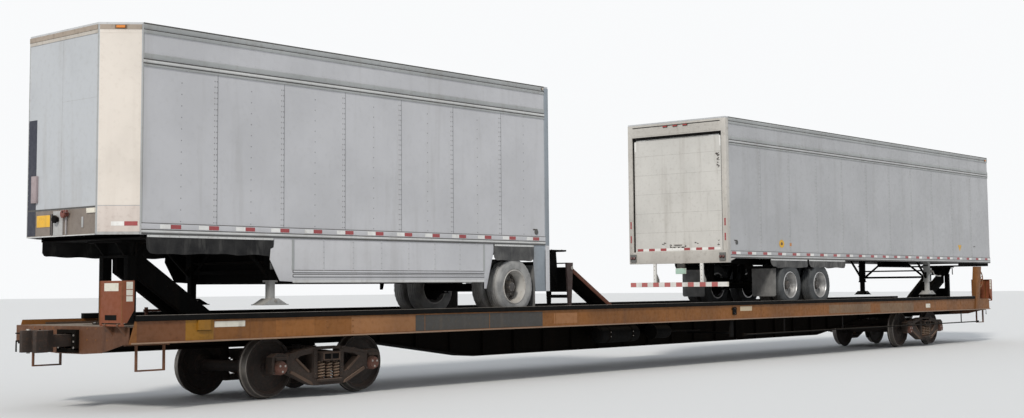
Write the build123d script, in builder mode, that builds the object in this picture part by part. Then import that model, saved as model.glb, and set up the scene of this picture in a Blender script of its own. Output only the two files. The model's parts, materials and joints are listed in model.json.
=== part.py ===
from build123d import *
import os
from collections import namedtuple

# An 89 ft piggyback flatcar with a short drop-frame trailer and a long tandem trailer.
# Sizes are millimetres. X runs along the car, -Y is its near side and Z is up.
# The wheel flanges end at Z = 0, so the top of the rail is one flange depth above that.

os.makedirs("parts", exist_ok=True)

# Running level
FLANGE_DEPTH = 28
RAIL = FLANGE_DEPTH

# Flatcar
CAR_LENGTH = 27230
CAR_WIDTH = 2700
DECK_TOP = RAIL + 1060
DECK_PLATE = 10
END_PLATE = 20
HALF_CAR = CAR_LENGTH / 2
DECK_END = HALF_CAR - END_PLATE

# Side sills
SILL_BOTTOM = RAIL + 839
SILL_WEB = 12
SILL_WEB_INSET = 30
SILL_FLANGE_WIDTH = 90
SILL_FLANGE = 20
RUB_RAIL_BOTTOM = RAIL + 1130
RUB_RAIL_HEIGHT = 72
RUB_RAIL_WIDTH = 70
SILL_END_SLANT = 90
RUB_RAIL_SETBACK = 90
RUB_RAIL_SHORT_END = 1030
WEB_OUTER = CAR_WIDTH / 2 - SILL_WEB_INSET
WEB_INNER = WEB_OUTER - SILL_WEB

# Centre sill
CENTRE_TOP = DECK_TOP - DECK_PLATE
CENTRE_SHALLOW = RAIL + 700
CENTRE_DEEP = RAIL + 360
BELLY_FLAT = 6000
BELLY_END = 8500
CENTRE_WEB = 14
CENTRE_FLANGE = 16
CENTRE_FLANGE_WIDTH = 480
CENTRE_GAP = 330
CENTRE_WEB_OUTER = CENTRE_GAP / 2 + CENTRE_WEB

# Cross members, by their distance from the middle of the car
CROSS_MEMBERS = (0, 1700, 3400, 5100, 6800, 8300, 11700, 12900)
CROSS_WEB = 10
CROSS_FLANGE = 12
CROSS_FLANGE_WIDTH = 110
CROSS_DEPTH_INNER = 200
CROSS_DEPTH_OUTER = 130

# Trucks
TRUCK_CENTRES = 20116
WHEELBASE = 1778
WHEEL_RADIUS = 419
WHEEL_BACKS = 1356
WHEEL_WIDTH = 145
AXLE_RADIUS = 80
JOURNAL_RADIUS = 75
JOURNAL_SPAN = 2007
AXLE_LENGTH = 2240
FRAME_THICKNESS = 140
BOLSTER_WIDTH = 380
BOLSTER_LENGTH = 2290
BOLSTER_TOP = RAIL + 630
BOWL_FLOOR = RAIL + 650
BOWL_DEPTH = 22
BOWL_WALL = 22
CENTRE_PLATE_RADIUS = 178
PLATE_PLAY = 3
SIDE_BEARING_Y = 635
SIDE_BEARING_TOP = RAIL + 690
SIDE_BEARING_PLAY = 6
SPRING_RADIUS = 62
SPRING_SEAT = RAIL + 230
SPRING_TOP = RAIL + 485
AXLE_Z = RAIL + WHEEL_RADIUS
BEARING_RADIUS = 102
BEARING_PLAY = 3
BEARING_INNER = 918

# Couplers
COUPLER_Z = RAIL + 876
COUPLER_REACH = 655
COUPLER_FACE = HALF_CAR + COUPLER_REACH
SHANK_WIDTH = 130
SHANK_HEIGHT = 160
HEAD_HEIGHT = 280

# Trailer axles and wheels
TYRE_RADIUS = 465
TYRE_WIDTH = 250
RIM_RADIUS = 288
DUAL_SPACING = 330
TYRE_GAP = 5
TRAILER_HALF = 1220
OUTER_TYRE_Y = TRAILER_HALF - TYRE_WIDTH / 2 - 15
INNER_TYRE_Y = OUTER_TYRE_Y - DUAL_SPACING
WHEEL_Z = DECK_TOP + TYRE_GAP + TYRE_RADIUS
TRAILER_AXLE_RADIUS = 63
HUB_RADIUS = 115
HUB_PLAY = 5
RIM_LIP = 22
RIM_DISH = 190
HUB_SUNK = 60

# Where the trailers stand along the car
KINGPIN_SETBACK = 910
SHORT_NOSE = -13780
SHORT_REAR = -5120
SHORT_AXLE = SHORT_REAR - 900
SHORT_LEGS = SHORT_NOSE + 2780
LONG_REAR = 600
LONG_NOSE = 14160
LONG_REAR_AXLE = LONG_REAR + 2530
TANDEM_SPACING = 1310
LONG_LEGS = LONG_NOSE - 3520

# Trailer bodies
SHORT_WALL_BOTTOM = RAIL + 2230
SHORT_FLOOR = SHORT_WALL_BOTTOM + 100
SHORT_CORNER = 400
SHORT_COUPLER = SHORT_WALL_BOTTOM - 40
SHORT_FOOT = RAIL + 1300
LONG_WALL_BOTTOM = RAIL + 2080
LONG_FLOOR = LONG_WALL_BOTTOM + 160
LONG_CORNER = 150
LONG_COUPLER = LONG_WALL_BOTTOM - 80
LONG_FOOT = RAIL + 1270
ROOF_TOP = RAIL + 4966
ROOF_PLATE = 30
WALL = 40
MOULDING = 10
REAR_POST = 110
DOOR = 30


def box(x, y, z, mode=Mode.ADD):
    """A block that spans three ranges."""
    with Locations(((x[0] + x[1]) / 2, (y[0] + y[1]) / 2, (z[0] + z[1]) / 2)):
        Box(abs(x[1] - x[0]), abs(y[1] - y[0]), abs(z[1] - z[0]), mode=mode)


def side_plate(points, y, mode=Mode.ADD):
    """An outline of (x, z) points with a thickness across the car."""
    with BuildSketch(Plane.XZ.offset(-max(y))) as outline:
        with BuildLine():
            Polyline(*points, close=True)
        make_face()
    extrude(outline.sketch, amount=abs(y[1] - y[0]), mode=mode)


def cross_plate(points, x, mode=Mode.ADD):
    """An outline of (y, z) points with a length along the car."""
    with BuildSketch(Plane.YZ.offset(min(x))) as outline:
        with BuildLine():
            Polyline(*points, close=True)
        make_face()
    extrude(outline.sketch, amount=abs(x[1] - x[0]), mode=mode)


def flat_plate(points, z, mode=Mode.ADD):
    """An outline of (x, y) points with a height."""
    with BuildSketch(Plane.XY.offset(min(z))) as outline:
        with BuildLine():
            Polyline(*points, close=True)
        make_face()
    extrude(outline.sketch, amount=abs(z[1] - z[0]), mode=mode)


def rod(start, end, radius, mode=Mode.ADD):
    """A round bar between two points."""
    run = Vector(*end) - Vector(*start)
    with BuildSketch(Plane(origin=start, z_dir=run)) as section:
        Circle(radius)
    extrude(section.sketch, amount=run.length, mode=mode)


def turned(x, z, profile, mode=Mode.ADD):
    """A solid of revolution about an axle along Y, from (y, radius) points."""
    with BuildSketch(Plane(origin=(x, 0, z), x_dir=(0, 1, 0), z_dir=(1, 0, 0))) as section:
        with BuildLine():
            Polyline(*profile, close=True)
        make_face()
    revolve(section.sketch, axis=Axis((x, 0, z), (0, 1, 0)), mode=mode)


def write(piece, name):
    piece.part.label = name
    export_step(piece.part, f"parts/{name}.step")


# Underframe

def belly_outline(end, inset):
    """The side view of the centre sill, deeper between the trucks."""
    top = CENTRE_TOP - inset
    shallow = CENTRE_SHALLOW + inset
    deep = CENTRE_DEEP + inset
    right = [(end, top), (end, shallow), (BELLY_END, shallow), (BELLY_FLAT, deep)]
    left = [(-x, z) for x, z in reversed(right)]
    return right + left


with BuildPart() as center_sill:
    side_plate(belly_outline(DECK_END, 0), (-CENTRE_FLANGE_WIDTH / 2, CENTRE_FLANGE_WIDTH / 2))
    side_plate(belly_outline(HALF_CAR, CENTRE_FLANGE), (-CENTRE_GAP / 2, CENTRE_GAP / 2), Mode.SUBTRACT)
    for side in (-1, 1):
        pocket = (side * CENTRE_WEB_OUTER, side * CENTRE_FLANGE_WIDTH)
        side_plate(belly_outline(HALF_CAR, CENTRE_FLANGE), pocket, Mode.SUBTRACT)
    for truck_x in (-TRUCK_CENTRES / 2, TRUCK_CENTRES / 2):
        bottom = BOWL_FLOOR + 1
        with Locations((truck_x, 0, (bottom + CENTRE_SHALLOW) / 2)):
            Cylinder(CENTRE_PLATE_RADIUS, CENTRE_SHALLOW - bottom)
write(center_sill, "center_sill")


def side_sill(turn):
    """The near side sill with its rub rail, or the far one, turned half round."""
    web_top = RUB_RAIL_BOTTOM
    low_end = HALF_CAR
    high_end = HALF_CAR - SILL_END_SLANT
    with BuildPart() as sill:
        side_plate(
            [(-low_end, SILL_BOTTOM), (low_end, SILL_BOTTOM), (high_end, web_top), (-high_end, web_top)],
            (-WEB_OUTER, -WEB_INNER),
        )
        box(
            (-DECK_END, DECK_END),
            (-CAR_WIDTH / 2, -CAR_WIDTH / 2 + SILL_FLANGE_WIDTH),
            (SILL_BOTTOM, SILL_BOTTOM + SILL_FLANGE),
        )
        box(
            (-HALF_CAR + RUB_RAIL_SETBACK, HALF_CAR - RUB_RAIL_SHORT_END),
            (-CAR_WIDTH / 2, -CAR_WIDTH / 2 + RUB_RAIL_WIDTH),
            (RUB_RAIL_BOTTOM, RUB_RAIL_BOTTOM + RUB_RAIL_HEIGHT),
        )
    sill.part = sill.part.rotate(Axis.Z, turn)
    return sill


for sill_name, sill_turn in (("side_sill_near", 0), ("side_sill_far", 180)):
    write(side_sill(sill_turn), sill_name)

with BuildPart() as deck:
    box((-DECK_END, DECK_END), (-WEB_INNER, WEB_INNER), (CENTRE_TOP, DECK_TOP))
write(deck, "deck")

with BuildPart() as cross_members:
    for distance in CROSS_MEMBERS:
        for x in sorted({-distance, distance}):
            for side in (-1, 1):
                inner_low = CENTRE_TOP - CROSS_DEPTH_INNER
                outer_low = CENTRE_TOP - CROSS_DEPTH_OUTER
                inner = side * CENTRE_WEB_OUTER
                flange_edge = side * CENTRE_FLANGE_WIDTH / 2
                outer = side * WEB_INNER
                cross_plate(
                    [(inner, inner_low), (outer, outer_low), (outer, CENTRE_TOP), (flange_edge, CENTRE_TOP),
                     (flange_edge, CENTRE_TOP - CENTRE_FLANGE), (inner, CENTRE_TOP - CENTRE_FLANGE)],
                    (x - CROSS_WEB / 2, x + CROSS_WEB / 2),
                )
                cross_plate(
                    [(inner, inner_low - CROSS_FLANGE), (outer, outer_low - CROSS_FLANGE),
                     (outer, outer_low), (inner, inner_low)],
                    (x - CROSS_FLANGE_WIDTH / 2, x + CROSS_FLANGE_WIDTH / 2),
                )
    # Body bolsters over the trucks, with the plates that bear on the side bearings
    for truck_x in (-TRUCK_CENTRES / 2, TRUCK_CENTRES / 2):
        for side in (-1, 1):
            inner = side * CENTRE_WEB_OUTER
            flange_edge = side * CENTRE_FLANGE_WIDTH / 2
            outer = side * WEB_INNER
            low = CENTRE_SHALLOW + CENTRE_FLANGE
            cross_plate(
                [(inner, low), (side * 800, low + 40), (outer, CENTRE_TOP - 170), (outer, CENTRE_TOP),
                 (flange_edge, CENTRE_TOP), (flange_edge, CENTRE_TOP - CENTRE_FLANGE),
                 (inner, CENTRE_TOP - CENTRE_FLANGE)],
                (truck_x - 150, truck_x + 150),
            )
            box(
                (truck_x - 60, truck_x + 60),
                (side * (SIDE_BEARING_Y - 90), side * (SIDE_BEARING_Y + 90)),
                (SIDE_BEARING_TOP + SIDE_BEARING_PLAY, low + 60),
            )
write(cross_members, "cross_members")

# Ends of the car
STEP_BOTTOM = RAIL + 490
STEP_WIDTH = 440
STEP_BAR = 20
STEP_SETBACK = 185
STEP_STRAP = 40
END_FLANGE = 120
END_SLOPE = 710
END_SLOPE_OUTER = WEB_INNER - 88
PLATE_HINGE_OUT = 100
PLATE_HINGE_Z = DECK_TOP + 20
PLATE_NEAR = -CAR_WIDTH / 2
PLATE_WIDTH = 500
PLATE_HEIGHT = 530
PLATE_DEPTH = 175
PLATE_SHEET = 12
HINGE_LUGS = (PLATE_NEAR + 110, PLATE_NEAR + 390)
LUG_WIDTH = 40
LUG_RADIUS = 24
PIN_RADIUS = 14
PIN_PLAY = 1.5


def end_sill(end):
    """The plate across one end of the car, its steps, and the lugs of its bridge plate."""
    face = end * HALF_CAR
    with BuildPart() as sill:
        cross_plate(
            [(-WEB_INNER, SILL_BOTTOM), (-END_SLOPE_OUTER, SILL_BOTTOM), (-END_SLOPE, CENTRE_SHALLOW + 20),
             (-300, CENTRE_SHALLOW), (300, CENTRE_SHALLOW), (END_SLOPE, CENTRE_SHALLOW + 20),
             (END_SLOPE_OUTER, SILL_BOTTOM), (WEB_INNER, SILL_BOTTOM), (WEB_INNER, DECK_TOP), (-WEB_INNER, DECK_TOP)],
            (face, face - end * END_PLATE),
        )
        box(
            (face, face - end * END_PLATE),
            (-SHANK_WIDTH / 2 - 60, SHANK_WIDTH / 2 + 60),
            (COUPLER_Z - SHANK_HEIGHT / 2 - 30, COUPLER_Z + SHANK_HEIGHT / 2 + 30),
            Mode.SUBTRACT,
        )
        for side in (-1, 1):
            box(
                (face - end * END_PLATE, face - end * END_FLANGE),
                (side * 300, side * (WEB_INNER - SILL_FLANGE_WIDTH)),
                (SILL_BOTTOM, SILL_BOTTOM + END_PLATE),
            )
            step_out = face - end * STEP_SETBACK
            step_in = step_out - end * STEP_WIDTH
            bar = (side * (WEB_INNER - SILL_FLANGE_WIDTH), side * (WEB_INNER - SILL_FLANGE_WIDTH - STEP_STRAP))
            box((step_out, step_out - end * STEP_BAR), bar, (STEP_BOTTOM, SILL_BOTTOM))
            box((step_in, step_in + end * STEP_BAR), bar, (STEP_BOTTOM, SILL_BOTTOM))
            box((step_out, step_in), bar, (STEP_BOTTOM, STEP_BOTTOM + STEP_BAR))
            box((face - end * END_PLATE, step_in), bar, (SILL_BOTTOM - STEP_BAR, SILL_BOTTOM))
            box(
                (step_in, step_in + end * STEP_BAR),
                (side * (WEB_INNER - SILL_FLANGE_WIDTH - STEP_STRAP), side * WEB_INNER),
                (SILL_BOTTOM - STEP_BAR, SILL_BOTTOM),
            )
        for lug_y in HINGE_LUGS:
            reach = face + end * PLATE_HINGE_OUT
            lug = (lug_y - LUG_WIDTH / 2, lug_y + LUG_WIDTH / 2)
            side_plate(
                [(face, DECK_TOP - 120), (face, DECK_TOP - 10), (reach, PLATE_HINGE_Z), (reach, PLATE_HINGE_Z - LUG_RADIUS)],
                lug,
            )
            turned(reach, PLATE_HINGE_Z, [(lug[0], 0), (lug[0], LUG_RADIUS), (lug[1], LUG_RADIUS), (lug[1], 0)])
            hole = PIN_RADIUS + PIN_PLAY
            turned(reach, PLATE_HINGE_Z, [(lug[0], 0), (lug[0], hole), (lug[1], hole), (lug[1], 0)], Mode.SUBTRACT)
    return sill


def bridge_plate(end):
    """A raised bridge plate, a pan with deep side flanges that swings down outward on its pin."""
    hinge = end * (HALF_CAR + PLATE_HINGE_OUT)
    face = hinge + end * 20
    back = face - end * PLATE_DEPTH
    foot = PLATE_HINGE_Z + LUG_RADIUS + 6
    top = foot + PLATE_HEIGHT
    far = PLATE_NEAR + PLATE_WIDTH
    with BuildPart() as plate:
        box((face, face - end * PLATE_SHEET), (PLATE_NEAR, far), (foot, top))
        for flange in ((PLATE_NEAR, PLATE_NEAR + PLATE_SHEET), (far - PLATE_SHEET, far)):
            side_plate([(face, foot), (face, top), (back, top), (back, foot + 160), (face - end * 70, foot)], flange)
        box((face, face - end * 60), (PLATE_NEAR, far), (top - PLATE_SHEET, top))
        for flange in ((PLATE_NEAR, PLATE_NEAR + 40), (far - 40, far)):
            box((face, hinge), flange, (PLATE_HINGE_Z, foot + PLATE_SHEET))
        turned(hinge, PLATE_HINGE_Z, [(PLATE_NEAR, 0), (PLATE_NEAR, PIN_RADIUS), (far, PIN_RADIUS), (far, 0)])
    return plate


def coupler(end):
    """A knuckle coupler, with its shank in the centre sill."""
    def out(x):
        return end * (COUPLER_FACE + x)

    middle = (COUPLER_Z - HEAD_HEIGHT / 2, COUPLER_Z + HEAD_HEIGHT / 2)
    with BuildPart() as piece:
        box(
            (out(-1370), out(-300)),
            (-SHANK_WIDTH / 2, SHANK_WIDTH / 2),
            (COUPLER_Z - SHANK_HEIGHT / 2, COUPLER_Z + SHANK_HEIGHT / 2),
        )
        flat_plate(
            [(out(x), end * y) for x, y in (
                (-370, -75), (-370, 75), (-280, 120), (-210, 200), (-30, 235), (0, 205), (-120, 120),
                (-180, 60), (-180, -10), (-130, -40), (-60, -35), (0, -55), (0, -115), (-70, -165),
                (-240, -160), (-290, -110))],
            middle,
        )
    return piece


for end_name, end in (("a", -1), ("b", 1)):
    write(end_sill(end), f"end_sill_{end_name}")
    write(bridge_plate(end), f"bridge_plate_{end_name}")
    write(coupler(end), f"coupler_{end_name}")

# Trailer hitches. A hitch stands on the deck, and its head carries a trailer's nose.
KINGPIN_RADIUS = 25.4
KINGPIN_PLAY = 1.6
HEAD_PLATE = 30
KINGPIN_LENGTH = 90
Hitch = namedtuple("Hitch", "kingpin, head_top, lean")
HITCH_A = Hitch(kingpin=SHORT_NOSE + KINGPIN_SETBACK, head_top=SHORT_COUPLER, lean=1)
HITCH_B = Hitch(kingpin=LONG_NOSE - KINGPIN_SETBACK, head_top=LONG_COUPLER, lean=-1)


HITCH_POST_HALF = 333
HITCH_COLUMN = 90
HITCH_POST_BACK = -100
HITCH_POST_FRONT = 40
HITCH_WINDOW_LOW = 560
HITCH_WINDOW_HIGH = 200
HITCH_FLARE = 170
HITCH_HEAD_HALF = 400
HITCH_STRUT_HALF = 230


def loaded_hitch(hitch):
    """A raised hitch: a broad post with a window, a diagonal strut and a flared head."""
    base = DECK_TOP
    top = hitch.head_top - HEAD_PLATE
    shoulder = top - HITCH_FLARE
    window = (top - HITCH_WINDOW_LOW, top - HITCH_WINDOW_HIGH)

    def x(offset):
        return hitch.kingpin + hitch.lean * offset

    post = (x(HITCH_POST_BACK), x(HITCH_POST_FRONT))
    with BuildPart() as piece:
        box(post, (-HITCH_POST_HALF, HITCH_POST_HALF), (base, shoulder))
        box(
            post,
            (-HITCH_POST_HALF + HITCH_COLUMN, HITCH_POST_HALF - HITCH_COLUMN),
            window, Mode.SUBTRACT)
        # The hollow back of the post, open towards the strut below the window
        box(
            (x(HITCH_POST_BACK + 25), x(HITCH_POST_FRONT)),
            (-HITCH_POST_HALF + HITCH_COLUMN, HITCH_POST_HALF - HITCH_COLUMN),
            (base + 60, window[0] - 60), Mode.SUBTRACT)
        cross_plate(
            [(-HITCH_POST_HALF, shoulder), (HITCH_POST_HALF, shoulder), (HITCH_HEAD_HALF, top),
             (-HITCH_HEAD_HALF, top)],
            (x(-45), x(-15)))
        for side in (-1, 1):
            side_plate(
                [(x(HITCH_POST_BACK), shoulder), (x(HITCH_POST_FRONT), shoulder), (x(200), top),
                 (x(-240), top)],
                (side * (HITCH_POST_HALF - 110), side * (HITCH_POST_HALF - 80)))
            strut = (side * 130, side * HITCH_STRUT_HALF)
            side_plate(
                [(x(HITCH_POST_FRONT), top - 60), (x(HITCH_POST_FRONT), top - 200),
                 (x(HITCH_POST_FRONT), top - 400), (x(1090), base), (x(1500), base), (x(1500), base + 60),
                 (x(1300), base + 190)],
                strut)
        box((x(-250), x(220)), (-HITCH_HEAD_HALF, HITCH_HEAD_HALF), (top, hitch.head_top))
        box((x(-180), x(120)), (-HITCH_POST_HALF - 20, HITCH_POST_HALF + 20), (base, base + 20))
        box((x(1120), x(1470)), (-HITCH_STRUT_HALF, HITCH_STRUT_HALF), (base, base + 40))
        with Locations((hitch.kingpin, 0, hitch.head_top - HEAD_PLATE / 2)):
            Cylinder(KINGPIN_RADIUS + KINGPIN_PLAY, HEAD_PLATE, mode=Mode.SUBTRACT)
        with Locations((hitch.kingpin, 0, hitch.head_top - KINGPIN_LENGTH / 2)):
            Cylinder(KINGPIN_RADIUS + KINGPIN_PLAY, KINGPIN_LENGTH + 20, mode=Mode.SUBTRACT)
    return piece


for hitch_name, hitch in (("hitch_a", HITCH_A), ("hitch_b", HITCH_B)):
    write(loaded_hitch(hitch), hitch_name)

# Folding hitch near the middle of the car, raised and empty
MID_X = -3345
MID_PIVOT_Z = DECK_TOP + 60
MID_TOP_Z = RAIL + 1870
MID_TOP_X = MID_X + 60
MID_FOOT_X = -1990
MID_FOOT_Z = DECK_TOP + 70
MID_HEAD_TOP = RAIL + 2200
MID_PIN = 20
MID_POST_HALF = 260
MID_STRUT_HALF = 225
MID_EYE = 40
MID_PANEL = 440

with BuildPart() as hitch_mid_base:
    box((MID_X - 200, MID_X + 200), (-MID_POST_HALF - 70, MID_POST_HALF + 70), (DECK_TOP, DECK_TOP + 12))
    for side in (-1, 1):
        lug = (side * (MID_POST_HALF + 10), side * (MID_POST_HALF + 40))
        side_plate(
            [(MID_X - 80, DECK_TOP), (MID_X + 80, DECK_TOP), (MID_X + 40, MID_PIVOT_Z + 40), (MID_X - 40, MID_PIVOT_Z + 40)],
            lug,
        )
        hole = MID_PIN + PIN_PLAY
        turned(MID_X, MID_PIVOT_Z, [(lug[0], 0), (lug[0], hole), (lug[1], hole), (lug[1], 0)], Mode.SUBTRACT)
        guide = (side * (MID_STRUT_HALF + 25), side * (MID_STRUT_HALF + 45))
        box((MID_FOOT_X - 500, MID_FOOT_X + 1400), guide, (DECK_TOP, DECK_TOP + 60))
write(hitch_mid_base, "hitch_mid_base")

with BuildPart() as hitch_mid_post:
    for side in (-1, 1):
        cheek = (side * (MID_POST_HALF - 30), side * MID_POST_HALF)
        side_plate(
            [(MID_X - MID_EYE, MID_PIVOT_Z), (MID_X + MID_EYE, MID_PIVOT_Z), (MID_X + 100, MID_TOP_Z + 100),
             (MID_X - 100, MID_TOP_Z + 100)],
            cheek,
        )
        turned(MID_X, MID_PIVOT_Z, [(cheek[0], 0), (cheek[0], MID_EYE), (cheek[1], MID_EYE), (cheek[1], 0)])
    box((MID_X - 60, MID_X - 45), (-MID_POST_HALF, MID_POST_HALF), (MID_TOP_Z - MID_PANEL, MID_TOP_Z))
    box((MID_X - 50, MID_X - 30), (-MID_POST_HALF, MID_POST_HALF), (MID_PIVOT_Z + 200, MID_PIVOT_Z + 260))
    box((MID_X - 85, MID_X + 20), (-MID_POST_HALF, MID_POST_HALF), (MID_TOP_Z + 80, MID_TOP_Z + 100))
    end = MID_POST_HALF + 45
    turned(MID_X, MID_PIVOT_Z, [(-end, 0), (-end, MID_PIN), (end, MID_PIN), (end, 0)])
    turned(MID_TOP_X, MID_TOP_Z, [(-MID_POST_HALF, 0), (-MID_POST_HALF, MID_PIN), (MID_POST_HALF, MID_PIN), (MID_POST_HALF, 0)])
write(hitch_mid_post, "hitch_mid_post")


def along_strut(distance, offset):
    """A point at a distance down the diagonal strut and an offset above its middle line."""
    run = Vector(MID_FOOT_X - MID_TOP_X, 0, MID_FOOT_Z - MID_TOP_Z)
    down = run.normalized()
    return (MID_TOP_X + down.X * distance - down.Z * offset, MID_TOP_Z + down.Z * distance + down.X * offset)


MID_STRUT_LENGTH = Vector(MID_FOOT_X - MID_TOP_X, 0, MID_FOOT_Z - MID_TOP_Z).length
STRUT_PLATE = 20
STRUT_COVER = 12
with BuildPart() as hitch_mid_strut:
    corners = ((0, -MID_EYE), (MID_STRUT_LENGTH, -MID_EYE), (MID_STRUT_LENGTH, MID_EYE), (0, MID_EYE))
    for side in (-1, 1):
        cheek = (side * (MID_STRUT_HALF - STRUT_PLATE), side * MID_STRUT_HALF)
        side_plate([along_strut(d, o) for d, o in corners], cheek)
        for eye_x, eye_z in (along_strut(0, 0), along_strut(MID_STRUT_LENGTH, 0)):
            turned(eye_x, eye_z, [(cheek[0], 0), (cheek[0], MID_EYE), (cheek[1], MID_EYE), (cheek[1], 0)])
        hole = MID_PIN + PIN_PLAY
        turned(MID_TOP_X, MID_TOP_Z, [(cheek[0], 0), (cheek[0], hole), (cheek[1], hole), (cheek[1], 0)], Mode.SUBTRACT)
    cover = ((120, MID_EYE - STRUT_COVER), (MID_STRUT_LENGTH - 20, MID_EYE - STRUT_COVER),
             (MID_STRUT_LENGTH - 20, MID_EYE), (120, MID_EYE))
    side_plate([along_strut(d, o) for d, o in cover], (-MID_STRUT_HALF + 5, MID_STRUT_HALF - 5))
write(hitch_mid_strut, "hitch_mid_strut")

with BuildPart() as hitch_mid_head:
    head_x = MID_X - 345
    flat_plate(
        [(head_x - 220, -300), (head_x + 200, -300), (head_x + 320, -150), (head_x + 320, 150), (head_x + 200, 300), (head_x - 220, 300)],
        (MID_HEAD_TOP - HEAD_PLATE, MID_HEAD_TOP),
    )
    with Locations((head_x, 0, MID_HEAD_TOP - HEAD_PLATE / 2)):
        Cylinder(KINGPIN_RADIUS + KINGPIN_PLAY, HEAD_PLATE, mode=Mode.SUBTRACT)
    side_plate(
        [(head_x - 150, MID_HEAD_TOP - HEAD_PLATE), (head_x + 225, MID_HEAD_TOP - HEAD_PLATE),
         (MID_X - 60, MID_TOP_Z - 300), (MID_X - 60, MID_TOP_Z - 420)],
        (-40, 40),
    )
write(hitch_mid_head, "hitch_mid_head")

# Brake rigging under the frame
BRAKE_ROD_Y = -1325
BRAKE_ROD_Z = RAIL + 530
BRAKE_CRANK_X = 1000
HAND_BRAKE_SETBACK = 865
HAND_BRAKE_X = HALF_CAR - HAND_BRAKE_SETBACK
BRAKE_WHEEL = 230
BRAKE_WHEEL_X = HAND_BRAKE_X + 300
HAND_BRAKE_LEAN = 180
HAND_BRAKE_TOP = RAIL + 1980
BRAKE_WHEEL_Z = RAIL + 1650

with BuildPart() as brake_rod:
    rod((BRAKE_CRANK_X, BRAKE_ROD_Y, BRAKE_ROD_Z), (HAND_BRAKE_X, BRAKE_ROD_Y, BRAKE_ROD_Z), 14)
    for hanger_x in (2600, 5200, 8000, 11700):
        box((hanger_x - 20, hanger_x + 20), (BRAKE_ROD_Y - 6, BRAKE_ROD_Y + 6), (BRAKE_ROD_Z, SILL_BOTTOM))
write(brake_rod, "brake_rod")

with BuildPart() as hand_brake:
    stand_foot = SILL_BOTTOM + SILL_FLANGE
    stand_side = RUB_RAIL_BOTTOM + RUB_RAIL_HEIGHT
    side_plate(
        [(HAND_BRAKE_X - 130, stand_foot), (HAND_BRAKE_X + 90, stand_foot),
         (HAND_BRAKE_X + 130 + HAND_BRAKE_LEAN, HAND_BRAKE_TOP), (HAND_BRAKE_X - 130 + HAND_BRAKE_LEAN, HAND_BRAKE_TOP)],
        (-CAR_WIDTH / 2, -WEB_OUTER),
    )
    rise = (stand_side - stand_foot) / (HAND_BRAKE_TOP - stand_foot) * HAND_BRAKE_LEAN
    side_plate(
        [(HAND_BRAKE_X - 130 + rise, stand_side), (HAND_BRAKE_X - 110 + rise, stand_side),
         (HAND_BRAKE_X - 110 + HAND_BRAKE_LEAN, HAND_BRAKE_TOP), (HAND_BRAKE_X - 130 + HAND_BRAKE_LEAN, HAND_BRAKE_TOP)],
        (-CAR_WIDTH / 2, -WEB_OUTER + 100),
    )
    brake_wheel_y = (-WEB_OUTER + 20, -WEB_OUTER + 40)
    turned(BRAKE_WHEEL_X, BRAKE_WHEEL_Z, [(y, r) for y, r in (
        (brake_wheel_y[0], BRAKE_WHEEL - 25), (brake_wheel_y[0], BRAKE_WHEEL),
        (brake_wheel_y[1], BRAKE_WHEEL), (brake_wheel_y[1], BRAKE_WHEEL - 25))])
    box((BRAKE_WHEEL_X - BRAKE_WHEEL + 10, BRAKE_WHEEL_X + BRAKE_WHEEL - 10), brake_wheel_y, (BRAKE_WHEEL_Z - 12, BRAKE_WHEEL_Z + 12))
    box((BRAKE_WHEEL_X - 12, BRAKE_WHEEL_X + 12), brake_wheel_y, (BRAKE_WHEEL_Z - BRAKE_WHEEL + 10, BRAKE_WHEEL_Z + BRAKE_WHEEL - 10))
    box(
        (HAND_BRAKE_X + 60, BRAKE_WHEEL_X + 40), (-WEB_OUTER, brake_wheel_y[1] + 10),
        (BRAKE_WHEEL_Z - 40, BRAKE_WHEEL_Z + 40),
    )
write(hand_brake, "hand_brake")

with BuildPart() as brake_gear:
    box((BRAKE_CRANK_X - 450, BRAKE_CRANK_X - 410), (-1260, -CENTRE_FLANGE_WIDTH / 2), (RAIL + 560, RAIL + 600))
    box((BRAKE_CRANK_X - 480, BRAKE_CRANK_X - 380), (-1300, -1260), (RAIL + 500, SILL_BOTTOM))
    rod((-1200, -560, RAIL + 640), (-700, -560, RAIL + 640), 130)
    box((-1150, -750), (-560, -CENTRE_WEB_OUTER), (RAIL + 600, RAIL + 680))
write(brake_gear, "brake_gear")

with BuildPart() as air_tank:
    rod((-3000, -620, RAIL + 640), (-1900, -620, RAIL + 640), 160)
    for strap_x in (-2800, -2100):
        box((strap_x - 20, strap_x + 20), (-620, -CENTRE_WEB_OUTER), (RAIL + 620, RAIL + 660))
write(air_tank, "air_tank")

# Trucks
FRAME_Y = JOURNAL_SPAN / 2
AXLE_X = WHEELBASE / 2
JAW = BEARING_RADIUS + 5
JAW_ROOF = AXLE_Z + BEARING_RADIUS + 35
ADAPTER_WIDTH = 180
SPRING_SPACING = 140


def sideframe_outline(truck_x):
    """The side view of a cast side frame, without its windows."""
    right = [
        (240, RAIL + 690), (520, RAIL + 655), (AXLE_X - 150, RAIL + 600), (AXLE_X - 40, RAIL + 620),
        (AXLE_X + 60, RAIL + 620), (AXLE_X + 150, RAIL + 570), (AXLE_X + 160, RAIL + 480),
        (AXLE_X + 150, RAIL + 340), (AXLE_X + JAW, RAIL + 340),
        (AXLE_X + JAW, JAW_ROOF), (AXLE_X - JAW, JAW_ROOF),
        (AXLE_X - JAW, RAIL + 340), (AXLE_X - JAW - 50, RAIL + 325), (330, RAIL + 155), (260, RAIL + 140),
    ]
    left = [(-x, z) for x, z in reversed(right)]
    return [(truck_x + x, z) for x, z in right + left]


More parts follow.
